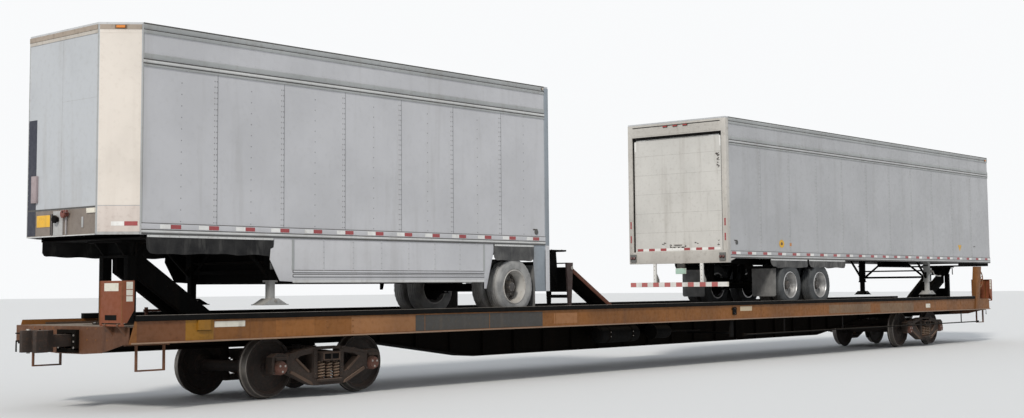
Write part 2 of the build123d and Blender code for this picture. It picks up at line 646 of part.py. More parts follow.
def truck_sideframes(truck_x):
    with BuildPart() as frames:
        for side in (-1, 1):
            y = (side * (FRAME_Y - FRAME_THICKNESS / 2), side * (FRAME_Y + FRAME_THICKNESS / 2))
            side_plate(sideframe_outline(truck_x), y)
            half_window = BOLSTER_WIDTH / 2 + 20
            box((truck_x - half_window, truck_x + half_window), y, (SPRING_SEAT, RAIL + 650), Mode.SUBTRACT)
            for end in (-1, 1):
                window = [(300, RAIL + 600), (520, RAIL + 570), (600, RAIL + 525), (370, RAIL + 335), (300, RAIL + 320)]
                side_plate([(truck_x + end * x, z) for x, z in window], y, Mode.SUBTRACT)
                cup_x = truck_x + end * AXLE_X
                box(
                    (cup_x - JAW + 10, cup_x + JAW - 10),
                    (side * (FRAME_Y - ADAPTER_WIDTH / 2), side * (FRAME_Y + ADAPTER_WIDTH / 2)),
                    (AXLE_Z + BEARING_RADIUS + BEARING_PLAY, JAW_ROOF + 10),
                )
            box(
                (truck_x - half_window, truck_x + half_window),
                (side * (FRAME_Y - 145), side * (FRAME_Y + 145)),
                (SPRING_SEAT - 40, SPRING_SEAT),
            )
    return frames


def truck_bolster(truck_x):
    half = BOLSTER_LENGTH / 2
    with BuildPart() as bolster:
        cross_plate(
            [(-half, SPRING_TOP), (-850, SPRING_TOP), (-500, RAIL + 360), (500, RAIL + 360), (850, SPRING_TOP),
             (half, SPRING_TOP), (half, BOLSTER_TOP - 20), (800, BOLSTER_TOP), (-800, BOLSTER_TOP), (-half, BOLSTER_TOP - 20)],
            (truck_x - BOLSTER_WIDTH / 2, truck_x + BOLSTER_WIDTH / 2),
        )
        bowl_outer = CENTRE_PLATE_RADIUS + PLATE_PLAY + BOWL_WALL
        with Locations((truck_x, 0, (BOLSTER_TOP + BOWL_FLOOR + BOWL_DEPTH) / 2)):
            Cylinder(min(bowl_outer, BOLSTER_WIDTH), BOWL_FLOOR + BOWL_DEPTH - BOLSTER_TOP)
        with Locations((truck_x, 0, BOWL_FLOOR + BOWL_DEPTH / 2)):
            Cylinder(CENTRE_PLATE_RADIUS + PLATE_PLAY, BOWL_DEPTH, mode=Mode.SUBTRACT)
        for side in (-1, 1):
            box(
                (truck_x - 120, truck_x + 120),
                (side * (SIDE_BEARING_Y - 50), side * (SIDE_BEARING_Y + 50)),
                (BOLSTER_TOP, SIDE_BEARING_TOP),
            )
    return bolster


def truck_springs(truck_x):
    with BuildPart() as springs:
        for side in (-1, 1):
            for x, y in ((-SPRING_SPACING, 70), (0, 70), (SPRING_SPACING, 70), (-SPRING_SPACING / 2, -70), (SPRING_SPACING / 2, -70)):
                with Locations((truck_x + x, side * (FRAME_Y + y), (SPRING_SEAT + SPRING_TOP) / 2)):
                    Cylinder(SPRING_RADIUS, SPRING_TOP - SPRING_SEAT)
    return springs


def truck_brake_beams(truck_x):
    """A beam across the truck inside each wheelset, with a shoe head at each wheel."""
    with BuildPart() as beams:
        for end in (-1, 1):
            beam_x = truck_x + end * (AXLE_X - WHEEL_RADIUS - 95)
            beam_z = AXLE_Z - 60
            box((beam_x - 30, beam_x + 30), (-FRAME_Y + FRAME_THICKNESS / 2, FRAME_Y - FRAME_THICKNESS / 2), (beam_z - 30, beam_z + 30))
    return beams


def wheelset(axle_x):
    """An axle with its two wheels and its two bearings."""
    back = WHEEL_BACKS / 2
    front = back + WHEEL_WIDTH
    flange = WHEEL_RADIUS + FLANGE_DEPTH
    half = [
        (back, AXLE_RADIUS), (back, flange), (back + 22, flange), (back + 36, WHEEL_RADIUS),
        (front, WHEEL_RADIUS), (front, JOURNAL_RADIUS), (BEARING_INNER, JOURNAL_RADIUS),
        (BEARING_INNER, BEARING_RADIUS), (AXLE_LENGTH / 2, BEARING_RADIUS), (AXLE_LENGTH / 2, 0),
    ]
    other = [(-y, r) for y, r in reversed(half)]
    with BuildPart() as piece:
        turned(axle_x, AXLE_Z, other + half)
    return piece


for truck_name, truck_x in (("a", -TRUCK_CENTRES / 2), ("b", TRUCK_CENTRES / 2)):
    write(truck_sideframes(truck_x), f"truck_{truck_name}_sideframes")
    write(truck_bolster(truck_x), f"truck_{truck_name}_bolster")
    write(truck_springs(truck_x), f"truck_{truck_name}_springs")
    write(truck_brake_beams(truck_x), f"truck_{truck_name}_brake_beams")
    write(wheelset(truck_x - AXLE_X), f"truck_{truck_name}_wheelset_1")
    write(wheelset(truck_x + AXLE_X), f"truck_{truck_name}_wheelset_2")

# Trailers. Heights are those of the body's side, and front is -1 where the nose points to -X.
Trailer = namedtuple(
    "Trailer",
    "name, front, nose, rear, wall_bottom, floor_top, corner, kingpin, coupler_z, plate_front, plate_back, legs, foot_z, axles",
)
SHORT = Trailer(
    name="short_trailer", front=-1, nose=SHORT_NOSE, rear=SHORT_REAR, wall_bottom=SHORT_WALL_BOTTOM,
    floor_top=SHORT_FLOOR, corner=SHORT_CORNER, kingpin=HITCH_A.kingpin, coupler_z=HITCH_A.head_top,
    plate_front=480, plate_back=560, legs=SHORT_LEGS, foot_z=SHORT_FOOT, axles=(SHORT_AXLE,),
)
LONG = Trailer(
    name="long_trailer", front=1, nose=LONG_NOSE, rear=LONG_REAR, wall_bottom=LONG_WALL_BOTTOM,
    floor_top=LONG_FLOOR, corner=LONG_CORNER, kingpin=HITCH_B.kingpin, coupler_z=HITCH_B.head_top,
    plate_front=740, plate_back=1190, legs=LONG_LEGS, foot_z=LONG_FOOT,
    axles=(LONG_REAR_AXLE, LONG_REAR_AXLE + TANDEM_SPACING),
)
WALL_TOP = ROOF_TOP - ROOF_PLATE
FLOOR_PLATE = 40
FLOOR_BEAM = 60
FLOOR_BEAM_SPACING = 610
RUB_MOULDING = RAIL + 4400
RUB_MOULDING_HEIGHT = 170
TOP_RAIL_HEIGHT = 110
BOTTOM_RAIL_HEIGHT = 150
BELLY_FRONT = SHORT_LEGS + 150
BELLY_REAR = SHORT_AXLE - 780
BELLY_BOTTOM = RAIL + 1600
WEDGE_LENGTH = 420
ARCH_TOP = RAIL + 1950
ARCH_FRONT = SHORT_AXLE - 540
ARCH_REAR = SHORT_AXLE + 490
ARCH_FLARE = 50
BELLY_WALL = 40
REAR_HEADER = 260
REAR_SILL_DROP = 90
DOOR_PANELS = 8
DOOR_GAP = 4
SKIRT = 20
SKIRT_BOTTOM = RAIL + 1500
SKIRT_BOTTOM_REAR = RAIL + 1450
BUMPER_HALF = 1200
BUMPER_BRACKET = 580
BUMPER_Z = (RAIL + 1505, RAIL + 1600)
FLAP = 8
CHASSIS_RAIL = 150


def trailer_walls(trailer):
    """The two side walls, each a sheet with its bottom, rub and top mouldings."""
    inner = TRAILER_HALF - MOULDING - WALL
    sheet = TRAILER_HALF - MOULDING
    rails = (
        (trailer.wall_bottom, trailer.wall_bottom + BOTTOM_RAIL_HEIGHT),
        (RUB_MOULDING, RUB_MOULDING + RUB_MOULDING_HEIGHT),
        (WALL_TOP - TOP_RAIL_HEIGHT, WALL_TOP),
    )
    ends = (trailer.nose - trailer.front * trailer.corner, trailer.rear + trailer.front * REAR_POST)
    walls = []
    for side in (-1, 1):
        with BuildPart() as wall:
            box(ends, (side * inner, side * sheet), (trailer.wall_bottom, WALL_TOP))
            for rail in rails:
                box(ends, (side * sheet, side * TRAILER_HALF), rail)
        walls.append(wall)
    return walls


def nose_outline(trailer, inset):
    """Half of the plan view of the nose, from the near wall's end round to the middle."""
    back = trailer.nose - trailer.front * trailer.corner
    front = trailer.nose - trailer.front * inset
    half = TRAILER_HALF - MOULDING - inset
    slope = inset * 0.414
    return [
        (back, -half), (back + trailer.front * 0, -half), (front, -half + trailer.corner - slope),
        (front, half - trailer.corner + slope), (back, half),
    ]


def trailer_nose(trailer):
    outer = nose_outline(trailer, 0)
    inner = nose_outline(trailer, WALL)
    with BuildPart() as nose:
        flat_plate([outer[0], outer[2], outer[3], outer[4]], (trailer.wall_bottom, WALL_TOP))
        flat_plate([inner[0], inner[2], inner[3], inner[4]], (trailer.wall_bottom, WALL_TOP), Mode.SUBTRACT)
    return nose


def trailer_roof(trailer):
    outer = nose_outline(trailer, 0)
    half = TRAILER_HALF - MOULDING
    with BuildPart() as roof:
        flat_plate(
            [outer[0], outer[2], outer[3], outer[4], (trailer.rear, half), (trailer.rear, -half)],
            (WALL_TOP, ROOF_TOP),
        )
    return roof


def trailer_rear_frame(trailer):
    """The ring of posts, header and sill that holds the rear door, with what hangs below it."""
    x = (trailer.rear, trailer.rear + trailer.front * REAR_POST)
    low = trailer.wall_bottom - REAR_SILL_DROP
    with BuildPart() as frame:
        box(x, (-TRAILER_HALF, TRAILER_HALF), (low, WALL_TOP))
        box(
            x,
            (-TRAILER_HALF + REAR_POST, TRAILER_HALF - REAR_POST),
            (trailer.floor_top, WALL_TOP - REAR_HEADER),
            Mode.SUBTRACT,
        )
        if trailer is LONG:
            rear_bumper(trailer.rear, low)
            for side in (-1, 1):
                side_plate(
                    [(trailer.rear, low), (trailer.rear + 305, trailer.wall_bottom), (trailer.rear, trailer.wall_bottom)],
                    (side * (TRAILER_HALF - 50), side * TRAILER_HALF),
                )
        else:
            for side in (-1, 1):
                side_plate(
                    [(trailer.rear, trailer.wall_bottom), (trailer.rear, SKIRT_BOTTOM_REAR),
                     (ARCH_REAR + ARCH_FLARE, SKIRT_BOTTOM_REAR), (ARCH_REAR, ARCH_TOP), (ARCH_REAR, trailer.wall_bottom)],
                    (side * (TRAILER_HALF - MOULDING - SKIRT), side * (TRAILER_HALF - MOULDING)),
                )
            box(
                (trailer.rear, trailer.rear - 40),
                (-TRAILER_HALF + MOULDING, TRAILER_HALF - MOULDING),
                (SKIRT_BOTTOM_REAR, SKIRT_BOTTOM_REAR + 100),
            )
    return frame


def rear_bumper(rear, low):
    """The bar under the rear of the long trailer, on two brackets with gussets, and the blank number plate."""
    x = (rear, rear + 40)
    box(x, (-BUMPER_HALF, BUMPER_HALF), BUMPER_Z)
    for side in (-1, 1):
        bracket = (side * (BUMPER_BRACKET - 30), side * (BUMPER_BRACKET + 30))
        box(x, bracket, (BUMPER_Z[1], low))
        side_plate(
            [(rear + 40, BUMPER_Z[1]), (rear + 170, BUMPER_Z[1]), (rear + 170, BUMPER_Z[1] + 60), (rear + 40, BUMPER_Z[1] + 250)],
            (side * (BUMPER_BRACKET - 5), side * (BUMPER_BRACKET + 5)),
        )
    box((rear, rear + 6), (-210, 55), (RAIL + 1770, RAIL + 1890))
    box((rear, rear + 6), (-110, -50), (RAIL + 1890, low))


def trailer_door(trailer):
    """A roll-up door, shut, as its separate panels one above the other."""
    inset = trailer.rear + trailer.front * 45
    low = trailer.floor_top
    step = (WALL_TOP - REAR_HEADER - low) / DOOR_PANELS
    with BuildPart() as door:
        for number in range(DOOR_PANELS):
            box(
                (inset, inset + trailer.front * DOOR),
                (-TRAILER_HALF + REAR_POST, TRAILER_HALF - REAR_POST),
                (low + number * step, low + (number + 1) * step - DOOR_GAP),
            )
    return door


def trailer_floor(trailer, opening=None):
    """The floor between the walls, its cross beams, and the coupler plate with the kingpin."""
    inner = TRAILER_HALF - MOULDING - WALL
    front = trailer.nose - trailer.front * trailer.corner
    rear = trailer.rear + trailer.front * REAR_POST
    length = abs(front - rear)
    beams = int(length // FLOOR_BEAM_SPACING)
    low = trailer.floor_top - FLOOR_PLATE
    with BuildPart() as floor:
        box((front, rear), (-inner, inner), (low, trailer.floor_top))
        if opening:
            box(opening, (-inner + BELLY_WALL, inner - BELLY_WALL), (low, trailer.floor_top), Mode.SUBTRACT)
        for number in range(beams + 1):
            x = rear + trailer.front * (60 + number * FLOOR_BEAM_SPACING)
            if opening and min(opening) - 40 < x < max(opening) + 40:
                continue
            box((x - 25, x + 25), (-inner, inner), (low - FLOOR_BEAM, low))
        plate = (trailer.kingpin - trailer.front * trailer.plate_back, trailer.kingpin + trailer.front * trailer.plate_front)
        box(plate, (-inner + 10, inner - 10), (trailer.coupler_z, trailer.coupler_z + 14))
        for edge in (-inner + 10, inner - 30):
            box(plate, (edge, edge + 20), (trailer.coupler_z + 14, low))
        with Locations((trailer.kingpin, 0, trailer.coupler_z - KINGPIN_LENGTH / 2)):
            Cylinder(KINGPIN_RADIUS, KINGPIN_LENGTH)
    return floor


def trailer_landing_gear(trailer):
    """Two raised legs with their feet and the tube between them."""
    low = trailer.floor_top - FLOOR_PLATE - FLOOR_BEAM
    with BuildPart() as gear:
        for side in (-1, 1):
            y = side * 900
            box((trailer.legs - 65, trailer.legs + 65), (y - 65, y + 65), (trailer.foot_z + 330, low))
            box((trailer.legs - 48, trailer.legs + 48), (y - 48, y + 48), (trailer.foot_z, trailer.foot_z + 330))
            side_plate(
                [(trailer.legs - 230, trailer.foot_z), (trailer.legs + 230, trailer.foot_z),
                 (trailer.legs + 60, trailer.foot_z + 90), (trailer.legs - 60, trailer.foot_z + 90)],
                (y - 120, y + 120),
            )
            # Braces up to the floor, one across the trailer and one along it
            cross_plate(
                [(side * 835, trailer.foot_z + 400), (side * 835, trailer.foot_z + 460), (side * 300, low), (side * 240, low)],
                (trailer.legs - 20, trailer.legs + 20),
            )
            edge = trailer.legs - 65
            side_plate(
                [(edge, trailer.foot_z + 400), (edge, trailer.foot_z + 460), (edge - 520, low), (edge - 580, low)],
                (y - 20, y + 20),
            )
        middle = (trailer.foot_z + low) / 2
        box((trailer.legs - 25, trailer.legs + 25), (-835, 835), (middle - 25, middle + 25))
    return gear


def rail_bottom(trailer):
    return trailer.floor_top - FLOOR_PLATE - FLOOR_BEAM - CHASSIS_RAIL


def trailer_running_gear(trailer, rails):
    """Two long rails under the floor, with a dead axle and its leaf springs for each pair of wheels."""
    low = trailer.floor_top - FLOOR_PLATE - FLOOR_BEAM
    with BuildPart() as gear:
        for side in (-1, 1):
            y = side * 480
            box(rails, (y - 40, y + 40), (low - CHASSIS_RAIL, low))
            for axle_x in trailer.axles:
                for hanger in (-480, 480):
                    x = axle_x + hanger
                    box((x - 40, x + 40), (y - 40, y + 40), (WHEEL_Z + 90, low - CHASSIS_RAIL))
                side_plate(
                    [(axle_x - 520, WHEEL_Z + 90), (axle_x, WHEEL_Z + TRAILER_AXLE_RADIUS - 5),
                     (axle_x + 520, WHEEL_Z + 90), (axle_x + 520, WHEEL_Z + 120),
                     (axle_x, WHEEL_Z + 150), (axle_x - 520, WHEEL_Z + 120)],
                    (y - 40, y + 40),
                )
        for axle_x in trailer.axles:
            rod((axle_x, -OUTER_TYRE_Y, WHEEL_Z), (axle_x, OUTER_TYRE_Y, WHEEL_Z), TRAILER_AXLE_RADIUS)
    return gear


def trailer_tyres(axle_x):
    """The four tyres of one axle."""
    with BuildPart() as tyres:
        for side in (-1, 1):
            for y in (INNER_TYRE_Y, OUTER_TYRE_Y):
                near = side * (y - TYRE_WIDTH / 2)
                far = side * (y + TYRE_WIDTH / 2)
                turned(axle_x, WHEEL_Z, [(near, RIM_RADIUS), (near, TYRE_RADIUS), (far, TYRE_RADIUS), (far, RIM_RADIUS)])
    return tyres


def trailer_hubs(axle_x):
    """The rims and hubs of one axle, a twin rim on each side."""
    inner = INNER_TYRE_Y - TYRE_WIDTH / 2 + 15
    outer = OUTER_TYRE_Y + TYRE_WIDTH / 2 - 5
    bore = TRAILER_AXLE_RADIUS + HUB_PLAY
    profile = [
        (inner, bore), (inner, RIM_RADIUS), (outer, RIM_RADIUS), (outer, RIM_RADIUS - RIM_LIP),
        (outer - RIM_DISH, RIM_RADIUS - RIM_LIP), (outer - RIM_DISH, HUB_RADIUS), (outer - HUB_SUNK, HUB_RADIUS),
        (outer - HUB_SUNK, 0), (OUTER_TYRE_Y + HUB_PLAY, 0), (OUTER_TYRE_Y + HUB_PLAY, bore),
    ]
    with BuildPart() as hubs:
        for side in (-1, 1):
            turned(axle_x, WHEEL_Z, [(side * y, r) for y, r in profile])
    return hubs


for trailer in (SHORT, LONG):
    for wall, wall_name in zip(trailer_walls(trailer), ("wall_near", "wall_far")):
        write(wall, f"{trailer.name}_{wall_name}")
    write(trailer_nose(trailer), f"{trailer.name}_nose")
    write(trailer_roof(trailer), f"{trailer.name}_roof")
    write(trailer_rear_frame(trailer), f"{trailer.name}_rear_frame")
    write(trailer_door(trailer), f"{trailer.name}_rear_door")
    write(trailer_landing_gear(trailer), f"{trailer.name}_landing_gear")

BELLY_OPENING = (BELLY_FRONT + BELLY_WALL, BELLY_REAR - BELLY_WALL)
write(trailer_floor(SHORT, BELLY_OPENING), "short_trailer_floor")
write(trailer_floor(LONG), "long_trailer_floor")
write(trailer_running_gear(SHORT, (SHORT_AXLE - 730, SHORT_AXLE + 620)), "short_trailer_running_gear")
write(trailer_running_gear(LONG, (LONG.axles[0] - 1630, LONG.axles[1] + 2060)), "long_trailer_bogie")
write(trailer_tyres(SHORT.axles[0]), "short_trailer_tyres")
write(trailer_hubs(SHORT.axles[0]), "short_trailer_hubs")
for axle_name, axle_x in zip(("rear", "front"), LONG.axles):
    write(trailer_tyres(axle_x), f"long_trailer_{axle_name}_tyres")
    write(trailer_hubs(axle_x), f"long_trailer_{axle_name}_hubs")

with BuildPart() as short_trailer_belly:
    outer = TRAILER_HALF - MOULDING
    belly_top = SHORT.wall_bottom
    box((BELLY_FRONT, BELLY_REAR), (-outer, outer), (BELLY_BOTTOM, belly_top))
    box(BELLY_OPENING, (-outer + BELLY_WALL, outer - BELLY_WALL), (BELLY_BOTTOM + BELLY_WALL, belly_top), Mode.SUBTRACT)
    for side in (-1, 1):
        skirt = (side * (outer - SKIRT), side * outer)
        # The wedge in front of the belly, then the panel between it and the wheels
        side_plate(
            [(BELLY_FRONT, belly_top), (BELLY_FRONT, BELLY_BOTTOM + 20),
             (BELLY_FRONT - WEDGE_LENGTH + 180, BELLY_BOTTOM + 30), (BELLY_FRONT - WEDGE_LENGTH, BELLY_BOTTOM + 330),
             (BELLY_FRONT - WEDGE_LENGTH + 30, belly_top)],
            skirt,
        )
        side_plate(
            [(BELLY_REAR, belly_top), (BELLY_REAR, SKIRT_BOTTOM), (BELLY_REAR + 60, SKIRT_BOTTOM),
             (ARCH_FRONT, ARCH_TOP + 150), (ARCH_FRONT, belly_top)],
            skirt,
        )
        for low in (BELLY_BOTTOM + 90, BELLY_BOTTOM + 150):
            box((BELLY_FRONT, BELLY_REAR), (side * outer, side * TRAILER_HALF), (low, low + 30))
write(short_trailer_belly, "short_trailer_belly")

# Rubber flaps: thin sheets hung from the walls beside the wheels, and mud flaps on hangers behind them
FLAP_Y = (TRAILER_HALF - 1 - FLAP, TRAILER_HALF - 1)
MUD_FLAP = 10
Flap = namedtuple("Flap", "front, rear, bottom, top")
FLAP_CORNER = 90
APRON_REAR = BELLY_FRONT - WEDGE_LENGTH + 30
SHORT_FLAPS = (
    Flap(front=SHORT_NOSE + 480, rear=APRON_REAR, bottom=SHORT_WALL_BOTTOM - 230, top=SHORT_WALL_BOTTOM),
    Flap(front=ARCH_FRONT + 10, rear=ARCH_REAR - 5, bottom=ARCH_TOP, top=SHORT_WALL_BOTTOM),
)
LONG_FLAPS = (
    Flap(front=LONG.axles[0] - 840, rear=LONG.axles[0] + 730, bottom=LONG_WALL_BOTTOM - 190, top=LONG_WALL_BOTTOM),
    Flap(front=LONG.axles[0] + 800, rear=LONG.axles[1] + 1180, bottom=LONG_WALL_BOTTOM - 190, top=LONG_WALL_BOTTOM),
)
MUD_FLAP_INNER = 600
MUD_FLAP_OUTER = 1180
MUD_HANGER = 60
RAIL_Y = 480
RAIL_HALF = 40


def trailer_flaps(side_flaps, mud_x, mud_bottom, mud_top, hanger_top):
    with BuildPart() as flaps:
        for side in (-1, 1):
            y = (side * FLAP_Y[0], side * FLAP_Y[1])
            for flap in side_flaps:
                side_plate(
                    [(flap.front, flap.top), (flap.front, flap.bottom + FLAP_CORNER),
                     (flap.front + FLAP_CORNER, flap.bottom), (flap.rear - FLAP_CORNER, flap.bottom),
                     (flap.rear, flap.bottom + FLAP_CORNER), (flap.rear, flap.top)],
                    y,
                )
            inner = side * (RAIL_Y - RAIL_HALF)
            box((mud_x, mud_x + MUD_FLAP), (side * MUD_FLAP_INNER, side * MUD_FLAP_OUTER), (mud_bottom, mud_top))
            box((mud_x - 15, mud_x + MUD_FLAP), (inner, side * MUD_FLAP_OUTER), (mud_top, mud_top + MUD_HANGER))
            box((mud_x - 15, mud_x + MUD_FLAP), (inner, side * (RAIL_Y + RAIL_HALF)), (mud_top, hanger_top))
    return flaps


SHORT_MUD_X = SHORT_AXLE + 540
LONG_MUD_X = LONG.axles[0] - 590
short_rail = rail_bottom(SHORT)
long_rail = rail_bottom(LONG)
short_flaps = trailer_flaps(SHORT_FLAPS, SHORT_MUD_X, DECK_TOP + 50, short_rail - 190, short_rail)
write(short_flaps, "short_trailer_flaps")
long_flaps = trailer_flaps(LONG_FLAPS, LONG_MUD_X, long_rail - 700, long_rail - 110, long_rail)
write(long_flaps, "long_trailer_flaps")
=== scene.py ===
import bpy
import bmesh
import json
import math
import random
from mathutils import Matrix, Vector


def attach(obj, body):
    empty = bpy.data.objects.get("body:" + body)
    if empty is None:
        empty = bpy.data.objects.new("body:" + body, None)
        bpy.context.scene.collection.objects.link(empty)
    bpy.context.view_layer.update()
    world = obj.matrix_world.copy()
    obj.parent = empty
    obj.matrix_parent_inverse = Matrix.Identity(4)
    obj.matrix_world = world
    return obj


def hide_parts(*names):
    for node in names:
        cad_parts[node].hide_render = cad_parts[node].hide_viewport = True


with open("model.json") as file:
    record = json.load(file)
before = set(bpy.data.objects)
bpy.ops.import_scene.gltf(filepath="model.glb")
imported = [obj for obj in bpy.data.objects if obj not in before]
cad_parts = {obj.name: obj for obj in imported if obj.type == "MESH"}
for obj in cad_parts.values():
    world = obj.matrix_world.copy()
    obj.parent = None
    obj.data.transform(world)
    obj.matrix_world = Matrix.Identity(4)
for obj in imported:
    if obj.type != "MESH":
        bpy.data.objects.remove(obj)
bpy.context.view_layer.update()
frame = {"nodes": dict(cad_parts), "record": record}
ROOT = "car_and_trailers"
RAIL = 0.028
DECK = RAIL + 1.060


# Camera, fitted to the photograph

def make_camera():
    right = Vector((0.64966997, -0.76017027, -0.00837202))
    up = Vector((-0.05646847, -0.05923647, 0.99664555))
    back = Vector((-0.75811624, -0.64701793, -0.08140981))
    place = Vector((-24.108, -16.595, 1.529))
    data = bpy.data.cameras.new("camera")
    data.sensor_width = 36
    data.lens = 50.04
    data.shift_y = -0.0359
    data.clip_end = 500
    camera = bpy.data.objects.new("camera", data)
    camera.matrix_world = Matrix([(right[i], up[i], back[i], place[i]) for i in range(3)] + [(0, 0, 0, 1)])
    bpy.context.scene.collection.objects.link(camera)
    bpy.context.scene.camera = camera


make_camera()
bpy.context.scene.view_settings.view_transform = "Standard"


# Materials

class Nodes:
    """A small helper that builds one node material."""

    def __init__(self):
        self.material = bpy.data.materials.new("look")
        self.material.use_nodes = True
        self.tree = self.material.node_tree
        self.shader = self.tree.nodes["Principled BSDF"]
        self.place = self.new("TexCoord").outputs["Object"]

    def new(self, kind):
        return self.tree.nodes.new("ShaderNode" + kind)

    def link(self, source, socket):
        """Connects an output to a socket, or gives the socket a number or a colour."""
        if isinstance(source, tuple):
            socket.default_value = source + (1,)
        elif isinstance(source, (int, float)):
            socket.default_value = source
        else:
            self.tree.links.new(source, socket)

    def times(self, a, b):
        node = self.new("Math")
        node.operation = "MULTIPLY"
        self.link(a, node.inputs[0])
        self.link(b, node.inputs[1])
        return node.outputs[0]

    def noise(self, scale, detail, stretch=(1, 1, 1), shift=0.0):
        mapping = self.new("Mapping")
        mapping.inputs["Scale"].default_value = stretch
        mapping.inputs["Location"].default_value = (shift, shift * 0.7, shift * 0.3)
        self.tree.links.new(self.place, mapping.inputs["Vector"])
        node = self.new("TexNoise")
        node.inputs["Scale"].default_value = scale
        node.inputs["Detail"].default_value = detail
        node.inputs["Roughness"].default_value = 0.55
        self.tree.links.new(mapping.outputs[0], node.inputs["Vector"])
        return node.outputs["Fac"]

    def ramp(self, value, low, high, to_low=0.0, to_high=1.0):
        node = self.new("MapRange")
        node.interpolation_type = "SMOOTHSTEP"
        for socket, number in zip(node.inputs[1:5], (low, high, to_low, to_high)):
            socket.default_value = number
        self.link(value, node.inputs[0])
        return node.outputs[0]

    def mix(self, factor, a, b):
        node = self.new("Mix")
        node.data_type = "RGBA"
        self.link(factor, node.inputs[0])
        self.link(a, node.inputs[6])
        self.link(b, node.inputs[7])
        return node.outputs[2]

    def cover(self, tone, color, mask, amount):
        """A tone with some of another colour over it, where the mask is 1."""
        return self.mix(self.times(mask, amount), tone, color)

    def edges(self):
        """1 near an edge of the shape, and 0 on its faces."""
        bevel = self.new("Bevel")
        bevel.samples = 4
        bevel.inputs["Radius"].default_value = 0.006
        dot = self.new("VectorMath")
        dot.operation = "DOT_PRODUCT"
        self.tree.links.new(bevel.outputs[0], dot.inputs[0])
        self.tree.links.new(self.new("NewGeometry").outputs["Normal"], dot.inputs[1])
        return self.ramp(dot.outputs["Value"], 0.999, 0.93)

    def up(self):
        """1 on faces that look up."""
        split = self.new("SeparateXYZ")
        self.tree.links.new(self.new("NewGeometry").outputs["Normal"], split.inputs[0])
        return self.ramp(split.outputs[2], 0.3, 0.9)

    def finish(self, color, rough, bump=None, strength=0.2, metallic=0.0, distance=0.001):
        self.link(color, self.shader.inputs["Base Color"])
        self.link(rough, self.shader.inputs["Roughness"])
        self.shader.inputs["Metallic"].default_value = metallic
        if bump is not None:
            node = self.new("Bump")
            node.inputs["Strength"].default_value = strength
            node.inputs["Distance"].default_value = distance
            self.tree.links.new(bump, node.inputs["Height"])
            self.tree.links.new(node.outputs[0], self.shader.inputs["Normal"])
        return self.material


def scaled(color, factor):
    """A colour made darker or lighter."""
    return tuple(min(1.0, c * factor) for c in color)


def painted(
        color, dirt=(0.20, 0.15, 0.10), amount=0.35, streaks=0.3, wear=(0.12, 0.08, 0.06), worn=0.25,
        rough=0.55, dust=(0.42, 0.36, 0.28), dusty=0.2, scale=1.0, spread=0.08, shine=0.5):
    """Paint with blotches, streaks that run down, dust on top and worn edges."""
    n = Nodes()
    n.shader.inputs["Specular IOR Level"].default_value = shine
    large = n.noise(0.9 * scale, 5)
    fine = n.noise(14 * scale, 6, shift=3.0)
    run = n.noise(5.0 * scale, 4, stretch=(1, 1, 0.08), shift=7.0)
    tone = n.mix(n.ramp(large, 0.35, 0.65), scaled(color, 1 - spread), scaled(color, 1 + spread))
    tone = n.cover(tone, dirt, n.ramp(run, 0.52, 0.75), streaks)
    tone = n.cover(tone, dirt, n.ramp(fine, 0.5, 0.8), amount)
    tone = n.cover(tone, dust, n.up(), dusty)
    tone = n.cover(tone, wear, n.times(n.edges(), n.ramp(fine, 0.35, 0.6)), worn)
    roughness = n.ramp(fine, 0.3, 0.7, rough - 0.08, min(1.0, rough + 0.15))
    return n.finish(tone, roughness, n.noise(60 * scale, 5, shift=1.0), 0.15)


def cast(color, dust=(0.34, 0.26, 0.18), rust=(0.22, 0.10, 0.05)):
    """Rough cast steel with rust, and a coat of dust on faces that look up, which also serves as a painted
    highlight on sunlit tops.
    """
    n = Nodes()
    grain = n.noise(90.0, 6, shift=2.0)
    tone = n.mix(n.ramp(n.noise(3.0, 5), 0.35, 0.65), color, scaled(color, 0.7))
    tone = n.cover(tone, rust, n.ramp(n.noise(18.0, 5, shift=5.0), 0.5, 0.7), 0.6)
    # Dust on faces that look up, which also paints the sunlit tops lighter
    tone = n.cover(tone, dust, n.up(), 0.6)
    return n.finish(tone, n.ramp(grain, 0.3, 0.7, 0.70, 0.95), grain, 0.5, distance=0.003)


def rubber(color, dust, amount, folds=0.0):
    """Dusty rubber, with pale creases where it is folded."""
    n = Nodes()
    n.shader.inputs["Specular IOR Level"].default_value = 0.25
    fine = n.noise(40.0, 5, shift=4.0)
    tone = n.cover(color, dust, n.ramp(n.noise(4.0, 5), 0.3, 0.7), amount)
    tone = n.cover(tone, dust, n.ramp(fine, 0.5, 0.8), 0.25)
    if folds:
        crease = n.noise(9.0, 4, stretch=(1, 1, 0.22), shift=6.0)
        tone = n.cover(tone, dust, n.ramp(crease, 0.52, 0.68), folds)
    return n.finish(tone, n.ramp(fine, 0.3, 0.7, 0.75, 0.95), fine, 0.2)


def metal(color, rough, amount):
    """Bare or galvanized metal with some dust."""
    n = Nodes()
    dust = (0.35, 0.31, 0.25)
    fine = n.noise(25.0, 6)
    tone = n.cover(color, dust, n.ramp(n.noise(3.0, 4, shift=3.0), 0.4, 0.7), amount)
    tone = n.cover(tone, dust, n.ramp(fine, 0.5, 0.8), 0.15)
    return n.finish(tone, n.ramp(fine, 0.3, 0.7, rough, rough + 0.25), fine, 0.08, metallic=0.85)


def lens(color):
    """The ribbed plastic of a lamp."""
    n = Nodes()
    ribs = n.noise(120.0, 2)
    n.shader.inputs["Coat Weight"].default_value = 0.6
    return n.finish(n.mix(n.ramp(ribs, 0.3, 0.7), color, scaled(color, 0.7)), 0.25, ribs)


